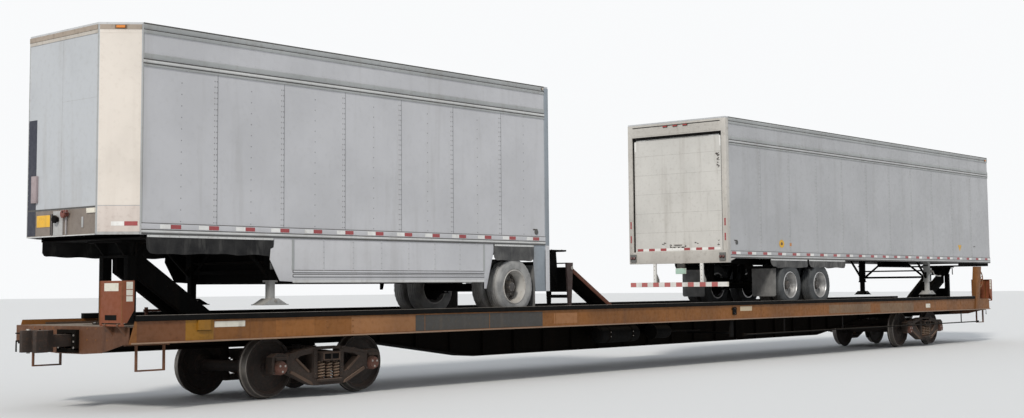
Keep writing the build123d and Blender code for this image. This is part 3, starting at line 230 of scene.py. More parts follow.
RUST = (0.16, 0.07, 0.035)
DUST = (0.40, 0.33, 0.25)
MAT = {
    "car": painted(
        (0.188, 0.067, 0.008), (0.07, 0.03, 0.012), 0.45, streaks=0.45, wear=RUST, worn=0.6, rough=0.62,
        spread=0.18),
    "car_old": painted(
        (0.105, 0.040, 0.015), (0.04, 0.02, 0.012), 0.5, streaks=0.5, wear=RUST, worn=0.6, rough=0.7,
        spread=0.2),
    "bridge": painted(
        (0.215, 0.056, 0.018), (0.10, 0.035, 0.018), 0.4, streaks=0.4, wear=RUST, worn=0.6, rough=0.62,
        spread=0.12),
    # Underframe black, darkened as painted shade under the car
    "car_dark": painted(
        (0.006, 0.005, 0.004), (0.016, 0.010, 0.007), 0.35, wear=RUST, worn=0.08, dust=DUST, dusty=0.08,
        rough=0.9, shine=0.05),
    "black": painted(
        (0.006, 0.006, 0.006), (0.022, 0.017, 0.013), 0.3, wear=RUST, worn=0.12, dust=DUST, dusty=0.12,
        rough=0.85, shine=0.08),
    "rub_edge": painted((0.16, 0.145, 0.13), (0.03, 0.025, 0.02), 0.5, rough=0.5, worn=0.2),
    "deck": painted(
        (0.085, 0.06, 0.045), RUST, 0.7, wear=(0.25, 0.2, 0.16), dust=DUST, dusty=0.5, rough=0.8, scale=2.0),
    "rust_red": painted((0.135, 0.044, 0.023), (0.07, 0.04, 0.03), 0.5, wear=RUST, dust=DUST, rough=0.75),
    # Truck castings: the base is darkened as painted shade, and the pale dust on top is also painted sunlight
    "truck": cast((0.030, 0.019, 0.013), (0.33, 0.225, 0.165), (0.055, 0.028, 0.017)),
    "bearing": cast((0.12, 0.05, 0.034), (0.24, 0.16, 0.11), (0.10, 0.04, 0.026)),
    # Rail wheels nearly black, darkened as painted shade inside the trucks
    "wheel": cast((0.018, 0.012, 0.009), (0.09, 0.06, 0.045), (0.045, 0.022, 0.015)),
    "tread": metal((0.22, 0.20, 0.185), 0.4, 0.3),
    "coupler": cast((0.036, 0.024, 0.018), (0.12, 0.085, 0.06), (0.075, 0.036, 0.02)),
    "spring": cast((0.12, 0.075, 0.05)),
    # A pale copy of the truck casting, as painted sunlight on its lit parts
    "truck_pale": cast((0.085, 0.052, 0.034), (0.36, 0.25, 0.18), (0.09, 0.045, 0.026)),
    "wall_short": painted(
        (0.528, 0.525, 0.538), (0.36, 0.35, 0.34), 0.15, streaks=0.28, worn=0.1, rough=0.42, dusty=0.1,
        spread=0.05),
    "cream": painted(
        (0.675, 0.615, 0.55), (0.46, 0.40, 0.34), 0.2, streaks=0.2, worn=0.1, rough=0.45, dusty=0.1,
        spread=0.06),
    "nose_face": painted(
        (0.455, 0.470, 0.488), (0.33, 0.31, 0.29), 0.2, streaks=0.3, worn=0.1, rough=0.45, dusty=0.1,
        spread=0.05),
    "wall_long": painted(
        (0.425, 0.425, 0.432), (0.30, 0.29, 0.28), 0.18, streaks=0.28, worn=0.1, rough=0.40, dusty=0.1,
        spread=0.05),
    "grey_frame": painted((0.51, 0.485, 0.445), (0.2, 0.17, 0.14), 0.35, worn=0.3, rough=0.5),
    "moulding": painted((0.60, 0.60, 0.585), (0.3, 0.27, 0.24), 0.3, rough=0.4, worn=0.15),
    "roof": painted((0.52, 0.53, 0.54), (0.25, 0.24, 0.22), 0.4, rough=0.45, dusty=0.3),
    "door": painted(
        (0.60, 0.585, 0.55), (0.33, 0.30, 0.26), 0.3, streaks=0.4, worn=0.2, rough=0.5, spread=0.06),
    "chassis": painted(
        (0.006, 0.006, 0.006), (0.022, 0.016, 0.012), 0.35, wear=RUST, worn=0.1, dust=DUST, dusty=0.06,
        rough=0.9, shine=0.06),
    "leg": painted((0.40, 0.40, 0.39), (0.13, 0.1, 0.08), 0.4, wear=RUST, worn=0.5, rough=0.6),
    "tyre": rubber((0.20, 0.198, 0.195), (0.46, 0.45, 0.43), 0.7),
    "tyre_dark": rubber((0.050, 0.053, 0.056), (0.120, 0.124, 0.124), 0.65),
    "flap": rubber((0.008, 0.008, 0.009), (0.07, 0.068, 0.064), 0.3, folds=0.5),
    "flap_worn": rubber((0.055, 0.055, 0.056), (0.19, 0.185, 0.175), 0.45, folds=0.5),
    "rim_cream": painted(
        (0.50, 0.485, 0.455), (0.22, 0.16, 0.12), 0.5, streaks=0.1, wear=RUST, worn=0.6, rough=0.5),
    "rim_metal": metal((0.52, 0.52, 0.52), 0.30, 0.25),
    "tape_red": painted((0.34, 0.055, 0.06), amount=0.3, streaks=0.2, rough=0.35, worn=0.1),
    "tape_white": painted((0.80, 0.79, 0.76), amount=0.25, streaks=0.25, rough=0.35, worn=0.1),
    "yellow": painted((0.75, 0.42, 0.03), amount=0.35, rough=0.5),
    "label": painted((0.72, 0.68, 0.58), amount=0.3, rough=0.6), "lamp_red": lens((0.36, 0.025, 0.018)),
    "lamp_tail": lens((0.13, 0.045, 0.040)),
    "tail_box": painted((0.150, 0.152, 0.145), (0.07, 0.065, 0.06), 0.4, rough=0.55, worn=0.3),
    "lamp_amber": lens((0.8, 0.25, 0.02)), "bolt": metal((0.35, 0.33, 0.31), 0.45, 0.4),
    "hub": painted((0.055, 0.05, 0.047), (0.14, 0.1, 0.07), 0.5, wear=RUST, dust=DUST, rough=0.6),
    "moulding_grey": painted((0.36, 0.37, 0.365), (0.22, 0.20, 0.17), 0.35, rough=0.45, worn=0.15),
    "moulding_dark": painted((0.075, 0.075, 0.072), (0.14, 0.12, 0.10), 0.3, rough=0.6),
    "slate": painted((0.25, 0.28, 0.31), (0.16, 0.15, 0.14), 0.25, rough=0.45, worn=0.15),
    "purple": painted((0.075, 0.048, 0.043), (0.12, 0.07, 0.055), 0.4, wear=RUST, dust=DUST, rough=0.7),
    "mud": rubber((0.135, 0.135, 0.133), (0.29, 0.285, 0.275), 0.5),
    "flare": painted((0.30, 0.305, 0.31), (0.20, 0.19, 0.17), 0.25, rough=0.45, worn=0.15),
    "panel_apron": painted((0.11, 0.115, 0.12), (0.07, 0.065, 0.06), 0.35, rough=0.5, worn=0.15),
    "panel_orange": painted((0.250, 0.090, 0.012), (0.08, 0.034, 0.015), 0.4, rough=0.6, spread=0.12),
    "cream_pink": painted(
        (0.60, 0.53, 0.48), (0.36, 0.28, 0.24), 0.4, streaks=0.2, rough=0.5, worn=0.15, spread=0.1),
    "leg_panel": painted((0.195, 0.162, 0.135), (0.12, 0.10, 0.09), 0.3, rough=0.5, spread=0.12, worn=0.15),
    "nose_rail": painted((0.33, 0.27, 0.215), (0.13, 0.10, 0.08), 0.5, streaks=0.2, rough=0.5, worn=0.2),
    "nose_rail_pale": painted((0.47, 0.43, 0.38), (0.22, 0.18, 0.15), 0.4, streaks=0.2, rough=0.5, worn=0.2),
    "pink_box": painted((0.33, 0.27, 0.275), (0.16, 0.12, 0.11), 0.3, rough=0.5, worn=0.2),
    "gladhand": painted((0.16, 0.045, 0.032), (0.08, 0.04, 0.03), 0.4, rough=0.55),
    "lamp_pale": lens((0.42, 0.36, 0.30)),
    "rubber_block": rubber((0.02, 0.02, 0.02), (0.20, 0.18, 0.16), 0.3),
    "mint": painted((0.42, 0.60, 0.50), amount=0.25, rough=0.4, worn=0.2),
    "sill_edge": painted((0.24, 0.15, 0.095), RUST, 0.5, wear=(0.5, 0.45, 0.4), worn=0.4, rough=0.55),
    "yellow_dull": painted((0.255, 0.112, 0.0010), (0.12, 0.06, 0.01), 0.5, rough=0.6),
    "panel_dark": painted((0.040, 0.037, 0.033), (0.12, 0.09, 0.06), 0.45, rough=0.6),
    "panel_brown": painted((0.17, 0.10, 0.05), RUST, 0.45, rough=0.62, spread=0.15),
    "panel_tan": painted((0.27, 0.115, 0.036), RUST, 0.4, rough=0.6, spread=0.15),
    "joint": painted((0.36, 0.34, 0.31), (0.22, 0.2, 0.18), 0.3, rough=0.6, worn=0.1),
    "flake": painted((0.055, 0.045, 0.04), (0.14, 0.11, 0.09), 0.4, rough=0.7),
    "sticker_red": painted((0.50, 0.20, 0.04), amount=0.25, rough=0.5),
    "sticker_pale": painted((0.20, 0.20, 0.20), amount=0.25, rough=0.5),
    "label_tan": painted((0.52, 0.42, 0.28), amount=0.35, rough=0.6),
    "moulding_soft": painted((0.50, 0.50, 0.495), (0.3, 0.28, 0.25), 0.3, rough=0.4, worn=0.15),
    "tape_pale": painted((0.50, 0.14, 0.135), amount=0.35, streaks=0.2, rough=0.4, worn=0.1),
    "end_brown": painted(
        (0.135, 0.048, 0.014), (0.055, 0.024, 0.011), 0.45, streaks=0.4, wear=RUST, worn=0.5, rough=0.65,
        spread=0.15), "seam_line": painted((0.24, 0.24, 0.245), (0.16, 0.15, 0.14), 0.4, rough=0.5, worn=0.1),
    "seam_soft": painted((0.33, 0.33, 0.335), (0.22, 0.21, 0.20), 0.4, rough=0.5, worn=0.1),
    # Wheel disc dark as painted shade inside the rim's dish
    "disc_painted_shade": painted((0.085, 0.078, 0.072), (0.16, 0.12, 0.09), 0.4, wear=RUST, dust=DUST, rough=0.65),
    "navy": painted((0.013, 0.015, 0.030), (0.05, 0.05, 0.06), 0.25, rough=0.45, worn=0.1),
}
for look_name, material in MAT.items():
    material.name = look_name

NODE_MATERIAL = {
    "tyres": "tyre", "short_trailer_hubs": "rim_cream", "hubs": "rim_metal", "springs": "spring",
    "wheelset": "wheel", "truck": "truck", "flaps": "flap", "landing_gear": "leg", "hand_brake": "car",
    "short_trailer_floor": "chassis", "long_trailer_floor": "chassis", "running_gear": "chassis",
    "bogie": "chassis", "short_trailer_nose": "nose_face", "long_trailer_nose": "wall_long",
    "rear_door": "door", "trailer_roof": "roof", "short_trailer_rear_frame": "slate",
    "short_trailer": "wall_short", "long_trailer_rear_frame": "grey_frame", "long_trailer": "wall_long",
    "hitch_mid_post": "purple", "hitch_mid_head": "purple", "hitch_mid_base": "black",
    "hitch_mid": "rust_red", "hitch": "black", "coupler": "coupler", "brake": "black", "air_tank": "black",
    "deck": "deck", "center_sill": "car_dark", "cross_members": "car_dark", "side_sill": "car",
    "end_sill": "car_old", "bridge_plate": "bridge",
}


def material_for(node):
    """The look of a CAD node: the first entry that its name contains."""
    for part, material in NODE_MATERIAL.items():
        if part in node:
            return MAT[material]
    return MAT["car"]


for node_name, node_object in frame["nodes"].items():
    node_object.data.materials.clear()
    node_object.data.materials.append(material_for(node_name))


# Shapes

SHARP = math.radians(28)


def about(middle, half):
    """The two ends of a length, from its middle."""
    return middle - half, middle + half


def span(sign, low, high):
    """The two ends of a length on the near or the far side."""
    return sign * low, sign * high


def rail(low, high):
    """Two heights over the rail."""
    return RAIL + low, RAIL + high


def circle(count, radius, a=0.0, b=0.0, turn=0.0):
    """Points on a circle in a plane."""
    angles = [2 * math.pi * k / count + turn for k in range(count)]
    return [(a + radius * math.cos(angle), b + radius * math.sin(angle)) for angle in angles]


def turned_point(centre, axis, along, radius, angle):
    """A point of a turned solid, by its place along the axis, its radius and its angle."""
    a, b = radius * math.cos(angle), radius * math.sin(angle)
    offset = {"y": (a, along, b), "x": (along, a, b), "z": (a, b, along)}[axis]
    return [centre[i] + offset[i] for i in range(3)]


class Shape:
    """One piece of the scene, gathered from small solids and then made into one object."""

    def __init__(self, name, body=ROOT):
        self.name = name
        self.body = body
        self.points = []
        self.faces = []
        self.looks = []
        self.materials = []

    def add(self, points, faces, look):
        if look not in self.materials:
            self.materials.append(look)
        start = len(self.points)
        self.points += [tuple(p) for p in points]
        self.faces += [tuple(start + i for i in face) for face in faces]
        self.looks += [self.materials.index(look)] * len(faces)

    def prism(self, outline, plane, span, look):
        """An outline of 2-D points in a plane, with a thickness along the third axis."""
        order = {"xz": (0, 2, 1), "yz": (1, 2, 0), "xy": (0, 1, 2)}[plane]
        points = []
        for level in span:
            for a, b in outline:
                point = [0, 0, 0]
                point[order[0]], point[order[1]], point[order[2]] = a, b, level
                points.append(point)
        self.loft(points, look)

    def loft(self, points, look):
        """A solid between two outlines, which are the two halves of the points."""
        n = len(points) // 2
        faces = [tuple(range(n)), tuple(range(2 * n - 1, n - 1, -1))]
        faces += [(i, (i + 1) % n, (i + 1) % n + n, i + n) for i in range(n)]
        self.add(points, faces, look)

    def box(self, x, y, z, look):
        self.prism([(x[0], y[0]), (x[1], y[0]), (x[1], y[1]), (x[0], y[1])], "xy", z, look)

    def lathe(self, centre, profile, look, axis="y", steps=48):
        """A turned solid about an axis, from (along, radius) points. A look may be one name for each band."""
        points = []
        for along, radius in profile:
            for step in range(steps):
                points.append(turned_point(centre, axis, along, radius, 2 * math.pi * step / steps))
        for band in range(len(profile) - 1):
            name = look if isinstance(look, str) else look[min(band, len(look) - 1)]
            faces = []
            for step in range(steps):
                after = (step + 1) % steps
                low, high = band * steps, (band + 1) * steps
                faces.append((low + step, low + after, high + after, high + step))
            self.patch(points, faces, name)
        for ring in (0, len(profile) - 1):
            if profile[ring][1] > 0.0005:
                name = look if isinstance(look, str) else look[0 if ring == 0 else -1]
                self.patch(points, [tuple(ring * steps + step for step in range(steps))], name)

    def patch(self, points, faces, look):
        """Some faces of a shared list of points."""
        used = sorted({i for face in faces for i in face})
        index = {old: new for new, old in enumerate(used)}
        self.add([points[i] for i in used], [tuple(index[i] for i in face) for face in faces], look)

    def ring(self, centre, profile, look, axis="y", steps=48):
        """A turned solid whose outline closes on itself, such as a tyre."""
        points = []
        n = len(profile)
        for step in range(steps):
            for along, radius in profile:
                if callable(radius):
                    radius = radius(step)
                points.append(turned_point(centre, axis, along, radius, 2 * math.pi * step / steps))
        faces = []
        for step in range(steps):
            after = (step + 1) % steps
            for i in range(n):
                j = (i + 1) % n
                faces.append((step * n + i, step * n + j, after * n + j, after * n + i))
        self.add(points, faces, look)

    def tube(self, path, radius, look, sides=8):
        """A round bar along a path of points."""
        path = [Vector(p) for p in path]
        points = []
        side = None
        for i, place in enumerate(path):
            run = (path[min(i + 1, len(path) - 1)] - path[max(i - 1, 0)]).normalized()
            if side is None:
                side = run.orthogonal().normalized()
            side = (side - run * side.dot(run)).normalized()
            other = run.cross(side)
            points += [place + side * u + other * v for u, v in circle(sides, radius)]
        faces = [tuple(range(sides)), tuple(range(len(points) - sides, len(points)))]
        for i in range(len(path) - 1):
            for k in range(sides):
                n = (k + 1) % sides
                faces.append((i * sides + k, i * sides + n, (i + 1) * sides + n, (i + 1) * sides + k))
        self.add(points, faces, look)

    def rivets(self, places, out, radius, height, look, sides=6):
        """Low domed heads at some places, that stand out along one direction."""
        out = Vector(out)
        a = out.orthogonal().normalized()
        b = out.cross(a)
        for place in places:
            place = Vector(place)
            points = []
            for level, size in ((-0.001, 1.0), (height * 0.55, 0.85)):
                points += [place + out * level + a * u + b * v for u, v in circle(sides, radius * size)]
            points.append(place + out * height)
            faces = [tuple(range(sides))]
            for k in range(sides):
                n = (k + 1) % sides
                faces.append((k, n, sides + n, sides + k))
                faces.append((sides + k, sides + n, 2 * sides))
            self.add(points, faces, look)

    def finish(self, replaces=(), bevel=0.0, smooth=30):
        mesh = bpy.data.meshes.new(self.name)
        mesh.from_pydata(self.points, [], self.faces)
        for name in self.materials:
            mesh.materials.append(MAT[name])
        mesh.polygons.foreach_set("material_index", self.looks)
        shape = bmesh.new()
        shape.from_mesh(mesh)
        bmesh.ops.recalc_face_normals(shape, faces=shape.faces)
        if bevel:
            round_edges(shape, bevel, 2)
        shape.to_mesh(mesh)
        shape.free()
        place_piece(self.name, mesh, self.body, replaces, smooth)


def round_edges(shape, width, segments):
    sharp = [e for e in shape.edges if len(e.link_faces) == 2 and e.calc_face_angle(0) > SHARP]
    bmesh.ops.bevel(
        shape, geom=sharp, offset=width, segments=segments, profile=0.5, affect="EDGES", clamp_overlap=True)


def place_piece(name, mesh, body, replaces, smooth):
    mesh.polygons.foreach_set("use_smooth", [True] * len(mesh.polygons))
    mesh.set_sharp_from_angle(angle=math.radians(smooth))
    mesh.update()
    piece = bpy.data.objects.new(name, mesh)
    bpy.context.scene.collection.objects.link(piece)
    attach(piece, body)
    if replaces:
        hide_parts(*replaces)


def soften(node, body, width, segments, paint, cuts):
    """A copy of a CAD node's mesh with its edges rounded, which stands for the node.

    Paint gives its faces their looks, and cuts, (axis, place), are where the faces are divided for the paint.
    """
    source = frame["nodes"][node].data
    shape = bmesh.new()
    shape.from_mesh(source)
    bmesh.ops.remove_doubles(shape, verts=shape.verts, dist=0.00005)
    bmesh.ops.dissolve_limit(shape, angle_limit=math.radians(0.8), verts=shape.verts, edges=shape.edges)
    bmesh.ops.recalc_face_normals(shape, faces=shape.faces)
    round_edges(shape, width, segments)
    for axis, place in cuts:
        across = Vector([float(i == axis) for i in range(3)])
        everything = shape.verts[:] + shape.edges[:] + shape.faces[:]
        bmesh.ops.bisect_plane(shape, geom=everything, dist=0.00001, plane_co=across * place, plane_no=across)
    mesh = bpy.data.meshes.new(node + "_rounded")
    shape.to_mesh(mesh)
    shape.free()
    mesh.materials.clear()
    mesh.materials.append(material_for(node))
    looks = []
    for face in mesh.polygons:
        look = paint(face.center, face.normal) if paint else None
        if look and look not in looks:
            looks.append(look)
            mesh.materials.append(MAT[look])
        face.material_index = looks.index(look) + 1 if look else 0
    place_piece(node + "_rounded", mesh, body, (node,), 35)


# Sizes that the details share with the CAD parts

WHEEL_R = 0.419
AXLE_Z = RAIL + WHEEL_R
TRUCK_X = (-10.058, 10.058)
AXLE_X = 0.889
FRAME_Y = 1.0035
TYRE_R = 0.465
TYRE_Z = DECK + 0.005 + TYRE_R
TYRE_W = 0.250
TYRE_Y = (0.750, 1.080)
RIM_R = 0.288
SHORT_AXLE = -6.020
SHORT_REAR = -5.120
S_NOSE = -13.780
LONG_NOSE = 14.160
LONG_REAR = 0.600
LONG_AXLES = (3.130, 4.440)
HALF = 1.220
SHEET = 1.210
DOOR = (-1.110, 1.110)
SHORT_KINGPIN, LONG_KINGPIN = -12.870, 13.250
SHORT_LEGS, LONG_LEGS = -11.000, 10.640
KNUCKLE = 14.150
WALL_TOP = RAIL + 4.936
SHORT_WALL = (-13.380, SHORT_REAR - 0.110, RAIL + 2.230)
LONG_WALL = (0.710, 14.010, RAIL + 2.080)
# The short trailer's wheel discs are dark as painted shade of the dish
AXLE_BODIES = (
    (SHORT_AXLE, "short_trailer_wheels", "short_trailer", "rim_cream", "disc_painted_shade", "tyre"),
    (LONG_AXLES[0], "long_trailer_rear_wheels", "long_trailer_rear", "rim_metal", "rim_metal", "tyre_dark"),
    (LONG_AXLES[1], "long_trailer_front_wheels", "long_trailer_front", "rim_metal", "rim_metal", "tyre_dark")
)


# Road wheels

def tyre_profile(y, out):
    """The closed section of a tyre about its middle, with a rounded shoulder and four grooves."""
    h = TYRE_W / 2
    deep = TYRE_R - 0.012
    section = [
        (-h + 0.022, RIM_R - 0.004), (-h + 0.006, RIM_R + 0.012), (-h + 0.004, RIM_R + 0.045),
        (-h, RIM_R + 0.070), (-h, RIM_R + 0.100), (-h + 0.004, RIM_R + 0.104), (-h + 0.006, TYRE_R - 0.030),
        (-h + 0.014, TYRE_R - 0.012), (-h + 0.026, TYRE_R - 0.003)]
    tread = []
    for groove in (-0.066, -0.023, 0.023, 0.066):
        tread += [
            (groove - 0.006, TYRE_R), (groove - 0.004, deep), (groove + 0.004, deep),
            (groove + 0.006, TYRE_R)]
    mirrored = [(-a, r) for a, r in reversed(section)]
    return [(y + out * a, r) for a, r in section + tread + mirrored]


def notched(radius, depth):
    """A radius that is smaller at every third step, for the blocks of a tread."""
    return lambda step: radius - (depth if step % 3 == 0 else 0.0)


# A rolled lip and the dish, from the rim's outer edge; and the hub with its cap, from the disc
OUTER_RIM = (
    (-0.006, -0.002), (0, -0.008), (0, -0.018), (-0.010, -0.024), (-0.030, -0.022), (-0.060, -0.034),
    (-0.150, -0.040), (-0.190, -0.046), (-0.202, -0.040), (-0.150, -0.028), (-0.060, -0.012), (-0.030, -0.002)
)
HUB = (
    (-0.04, 0.112), (0.004, 0.112), (0.030, 0.104), (0.105, 0.088), (0.112, 0.080), (0.124, 0.080),
    (0.130, 0.070), (0.130, 0.001), (-0.04, 0.001)
)


def road_wheels(axle_x, body, prefix, rim, disc, rubber_look):
    """The four wheels of one trailer axle: the tyres as one piece, the rims and hubs as another."""
    tyres = Shape(prefix + "_tyres_detailed", body)
    rims = Shape(prefix + "_rims_detailed", body)
    for side in (-1, 1):
        for y in TYRE_Y:
            blocks = (TYRE_R - 0.012, TYRE_R - 0.003)
            profile = [(a, notched(r, 0.007) if r in blocks else r) for a, r in tyre_profile(side * y, side)]
            tyres.ring((axle_x, 0, TYRE_Z), profile, rubber_look, steps=96)
        outer = TYRE_Y[1] + TYRE_W / 2 - 0.005
        dish = outer - 0.190
        inner = TYRE_Y[0] - TYRE_W / 2 + 0.015
        place = (axle_x, 0, TYRE_Z)
        barrel = [(inner, RIM_R - 0.002), (inner, RIM_R - 0.022), (inner + 0.03, RIM_R - 0.026)]
        barrel += [(dish - 0.03, RIM_R - 0.050), (dish - 0.03, RIM_R - 0.036), (inner + 0.03, RIM_R - 0.004)]
        drum = [(inner + 0.02, 0.205), (dish - 0.035, 0.205), (dish - 0.035, 0.075), (inner + 0.02, 0.075)]
        for profile, look, steps in (
                ([(outer + a, RIM_R + r) for a, r in OUTER_RIM], rim, 64), (barrel, rim, 48),
                (drum, "chassis", 48), ([(dish + a, r) for a, r in HUB], "hub", 40)):
            rims.ring(place, [(side * a, r) for a, r in profile], look, steps=steps)
        hand_hole_disc(rims, place, side, dish, disc)
        for count, radius, y, turn, size, tall in ((
                10, 0.1425, 0.003, math.pi / 10, 0.019, 0.030), (6, 0.066, 0.128, 0.0, 0.007, 0.007)):
            nuts = [(x, side * (dish + y), z) for x, z in circle(count, radius, axle_x, TYRE_Z, turn)]
            rims.rivets(nuts, (0, side, 0), size, tall, "bolt")
    tyres.finish((prefix + "_tyres",), smooth=38)
    rims.finish((prefix + "_hubs",), smooth=38)


def hand_hole_disc(piece, place, side, dish, look):
    """A wheel disc as a ring of cells, with every third pair of cells in the middle band left open."""
    steps = 60
    radii = (0.104, 0.168, 0.180, 0.222, 0.2425)
    depths = (0.0, 0.0, -0.003, -0.010, -0.012)
    points = []
    for layer in (0.0, -0.012):
        for radius, depth in zip(radii, depths):
            points += [
                (x, side * (dish + depth + layer), z) for x, z in circle(steps, radius, place[0], place[2])]
    rings = len(radii)

    def index(layer, ring, step):
        return (layer * rings + ring) * steps + step % steps

    def rim_face(ring, step):
        return index(0, ring, step), index(0, ring, step + 1), index(1, ring, step + 1), index(1, ring, step)

    faces = []
    for step in range(steps):
        for ring in range(rings - 1):
            if ring == 2 and step % 6 in (1, 2, 3):
                if step % 6 == 1:
                    faces.append(tuple(index(l, r, step) for l, r in ((0, 2), (1, 2), (1, 3), (0, 3))))
                if step % 6 == 3:
                    faces.append(tuple(index(l, r, step + 1) for l, r in ((0, 2), (0, 3), (1, 3), (1, 2))))
                faces += [rim_face(2, step), rim_face(3, step)]
                continue
            for layer in (0, 1):
                corners = ((ring, step), (ring, step + 1), (ring + 1, step + 1), (ring + 1, step))
                faces.append(tuple(index(layer, r, k) for r, k in corners))
        faces += [rim_face(0, step), rim_face(rings - 1, step)]
    piece.add(points, faces, look)


for axle in AXLE_BODIES:
    road_wheels(*axle)


# Rail wheels, bearings and springs

# The wheel from its back face outwards, and the bearing from the middle of the axle
WHEEL_SECTION = [
    (-0.075, 0.088), (-0.070, 0.125), (-0.015, 0.132), (0.020, 0.150), (0.042, 0.240), (0.030, 0.330),
    (0.012, 0.362), (0.0, 0.372), (0.0, 0.438), (0.006, 0.447), (0.018, 0.447), (0.028, 0.438),
    (0.034, 0.426), (0.044, 0.4195), (0.138, 0.4160), (0.145, 0.408), (0.145, 0.372), (0.120, 0.362),
    (0.085, 0.330), (0.078, 0.240), (0.110, 0.150), (0.118, 0.132), (0.145, 0.126), (0.147, 0.080),
]
BEARING_SECTION = [
    (0.900, 0.076), (0.918, 0.076), (0.918, 0.094), (0.928, 0.1015), (1.070, 0.1015), (1.078, 0.096),
    (1.090, 0.096), (1.094, 0.088), (1.118, 0.084), (1.120, 0.078), (1.120, 0.001),
]


def wheelset(name, body, axle_x):
    """Two rail wheels on their axle, with the bearings at its ends."""
    piece = Shape(name, body)
    place = (axle_x, 0, AXLE_Z)
    back = 0.678
    looks = []
    half = [(0.0, 0.078), (0.45, 0.082)] + [(back + a, r) for a, r in WHEEL_SECTION] + BEARING_SECTION
    for i in range(len(half) - 1):
        middle = (half[i][0] + half[i + 1][0]) / 2
        radius = (half[i][1] + half[i + 1][1]) / 2
        if radius > 0.405 and middle > back + 0.03:
            looks.append("tread")
        elif middle > 0.905:
            looks.append("bearing")
        else:
            looks.append("wheel")
    for side in (-1, 1):
        piece.lathe(place, [(side * a, r) for a, r in half], looks, steps=72)
        bolts = [(x, side * 1.119, z) for x, z in circle(3, 0.052, axle_x, AXLE_Z, 0.5)]
        piece.rivets(bolts, (0, side, 0), 0.019, 0.012, "bolt")
    piece.finish((name.replace("_detailed", ""),), smooth=34)


def coil(piece, x, y, low, high, radius, wire, turns):
    """A coil spring that stands between two heights."""
    path = []
    steps = 22
    for i in range(int(turns * steps) + 1):
        angle = 2 * math.pi * i / steps
        along = i / (turns * steps)
        z = low + wire + (high - low - 2 * wire) * along
        path.append((x + radius * math.cos(angle), y + radius * math.sin(angle), z))
    piece.tube(path, wire, "spring")


for letter, truck_x in zip("ab", TRUCK_X):
    for number, sign in ((1, -1), (2, 1)):
        wheelset(
            f"truck_{letter}_wheelset_{number}_detailed", f"truck_{letter}_wheels_{number}", truck_x
            + sign * AXLE_X)
    springs = Shape(f"truck_{letter}_coil_springs", f"truck_{letter}")
    low, high = RAIL + 0.230, RAIL + 0.485
    for side in (-1, 1):
        for x, y in ((-0.14, 0.07), (0, 0.07), (0.14, 0.07), (-0.07, -0.07), (0.07, -0.07)):
            for radius, wire, turns in ((0.050, 0.0118, 5.6), (0.024, 0.007, 9.0)):
                coil(springs, truck_x + x, side * (FRAME_Y + y), low, high, radius, wire, turns)
    springs.finish((f"truck_{letter}_springs",), smooth=60)


# Castings and fabricated parts: the CAD shapes with rounded edges

BODY_OF = {node: body for body, nodes in frame["record"]["behaviour"]["bodies"].items() for node in nodes}
RUB_LOW, RUB_HIGH = RAIL + 1.130, RAIL + 1.202


def sill_paint(centre, normal):
    """The rub rail along the top is black, with a light line on its upper edge."""
    if centre.z > RUB_HIGH - 0.008 and abs(normal.y) > 0.2:
        return "rub_edge"
    if centre.z > RUB_LOW - 0.003:
        return "black"
    return "sill_edge" if abs(centre.y) > 1.346 else None


def leg_paint_and_shade(centre, normal):
    """Only the inner tube and the foot of the near leg are pale; the far leg and the near leg's upper part
    are black as painted shade.
    """
    if centre.y > -0.5:
        return "chassis"
    inner_tube = centre.z < RAIL + 1.655
    return "leg" if inner_tube or centre.y < -0.81 and abs(centre.x - LONG_LEGS) < 0.11 else "chassis"


def belly_paint_and_shade(centre, normal):
    """Sheets outside; the faces in front, behind, below and inside are black as painted shade, and the flares
    at both ends are darker.
    """
    if abs(centre.y) < 1.195 or abs(normal.y) < 0.5:
        return "chassis"
    return "flare" if centre.x < -10.84 or centre.x > -6.81 else None


def strut_paint_and_shade(centre, normal):
    """Red on the near cheek and on faces that look up; the faces below and inside are black as painted shade.
    """
    return None if centre.y < -0.215 or normal.z > 0.3 else "black"


def post_paint_and_shade(centre, normal):
    """The near cheek shows its purple primer, and the rest is black as painted shade."""
    return None if centre.y < -0.225 else "black"


BRIDGE_FOOT = DECK + 0.050
PALE_BANDS = (0.270, 0.335, 0.345, 0.415, 0.425, 0.515)
MARK_X = (13.585, 13.680)


def bridge_paint(centre, normal):
    """Three pale marks on the outer face of the near flange."""
    if centre.y > -1.3485 or abs(normal.y) < 0.9 or not MARK_X[0] < abs(centre.x) < MARK_X[1]:
        return None
    height = centre.z - BRIDGE_FOOT
    return "label" if any(PALE_BANDS[i] < height < PALE_BANDS[i + 1] for i in (0, 2, 4)) else None


def apron_paint(centre, normal):
    """A dark apron along the bottom of the long trailer's nose."""
    return "panel_apron" if centre.z < RAIL + 2.19 and abs(normal.z) < 0.5 else None


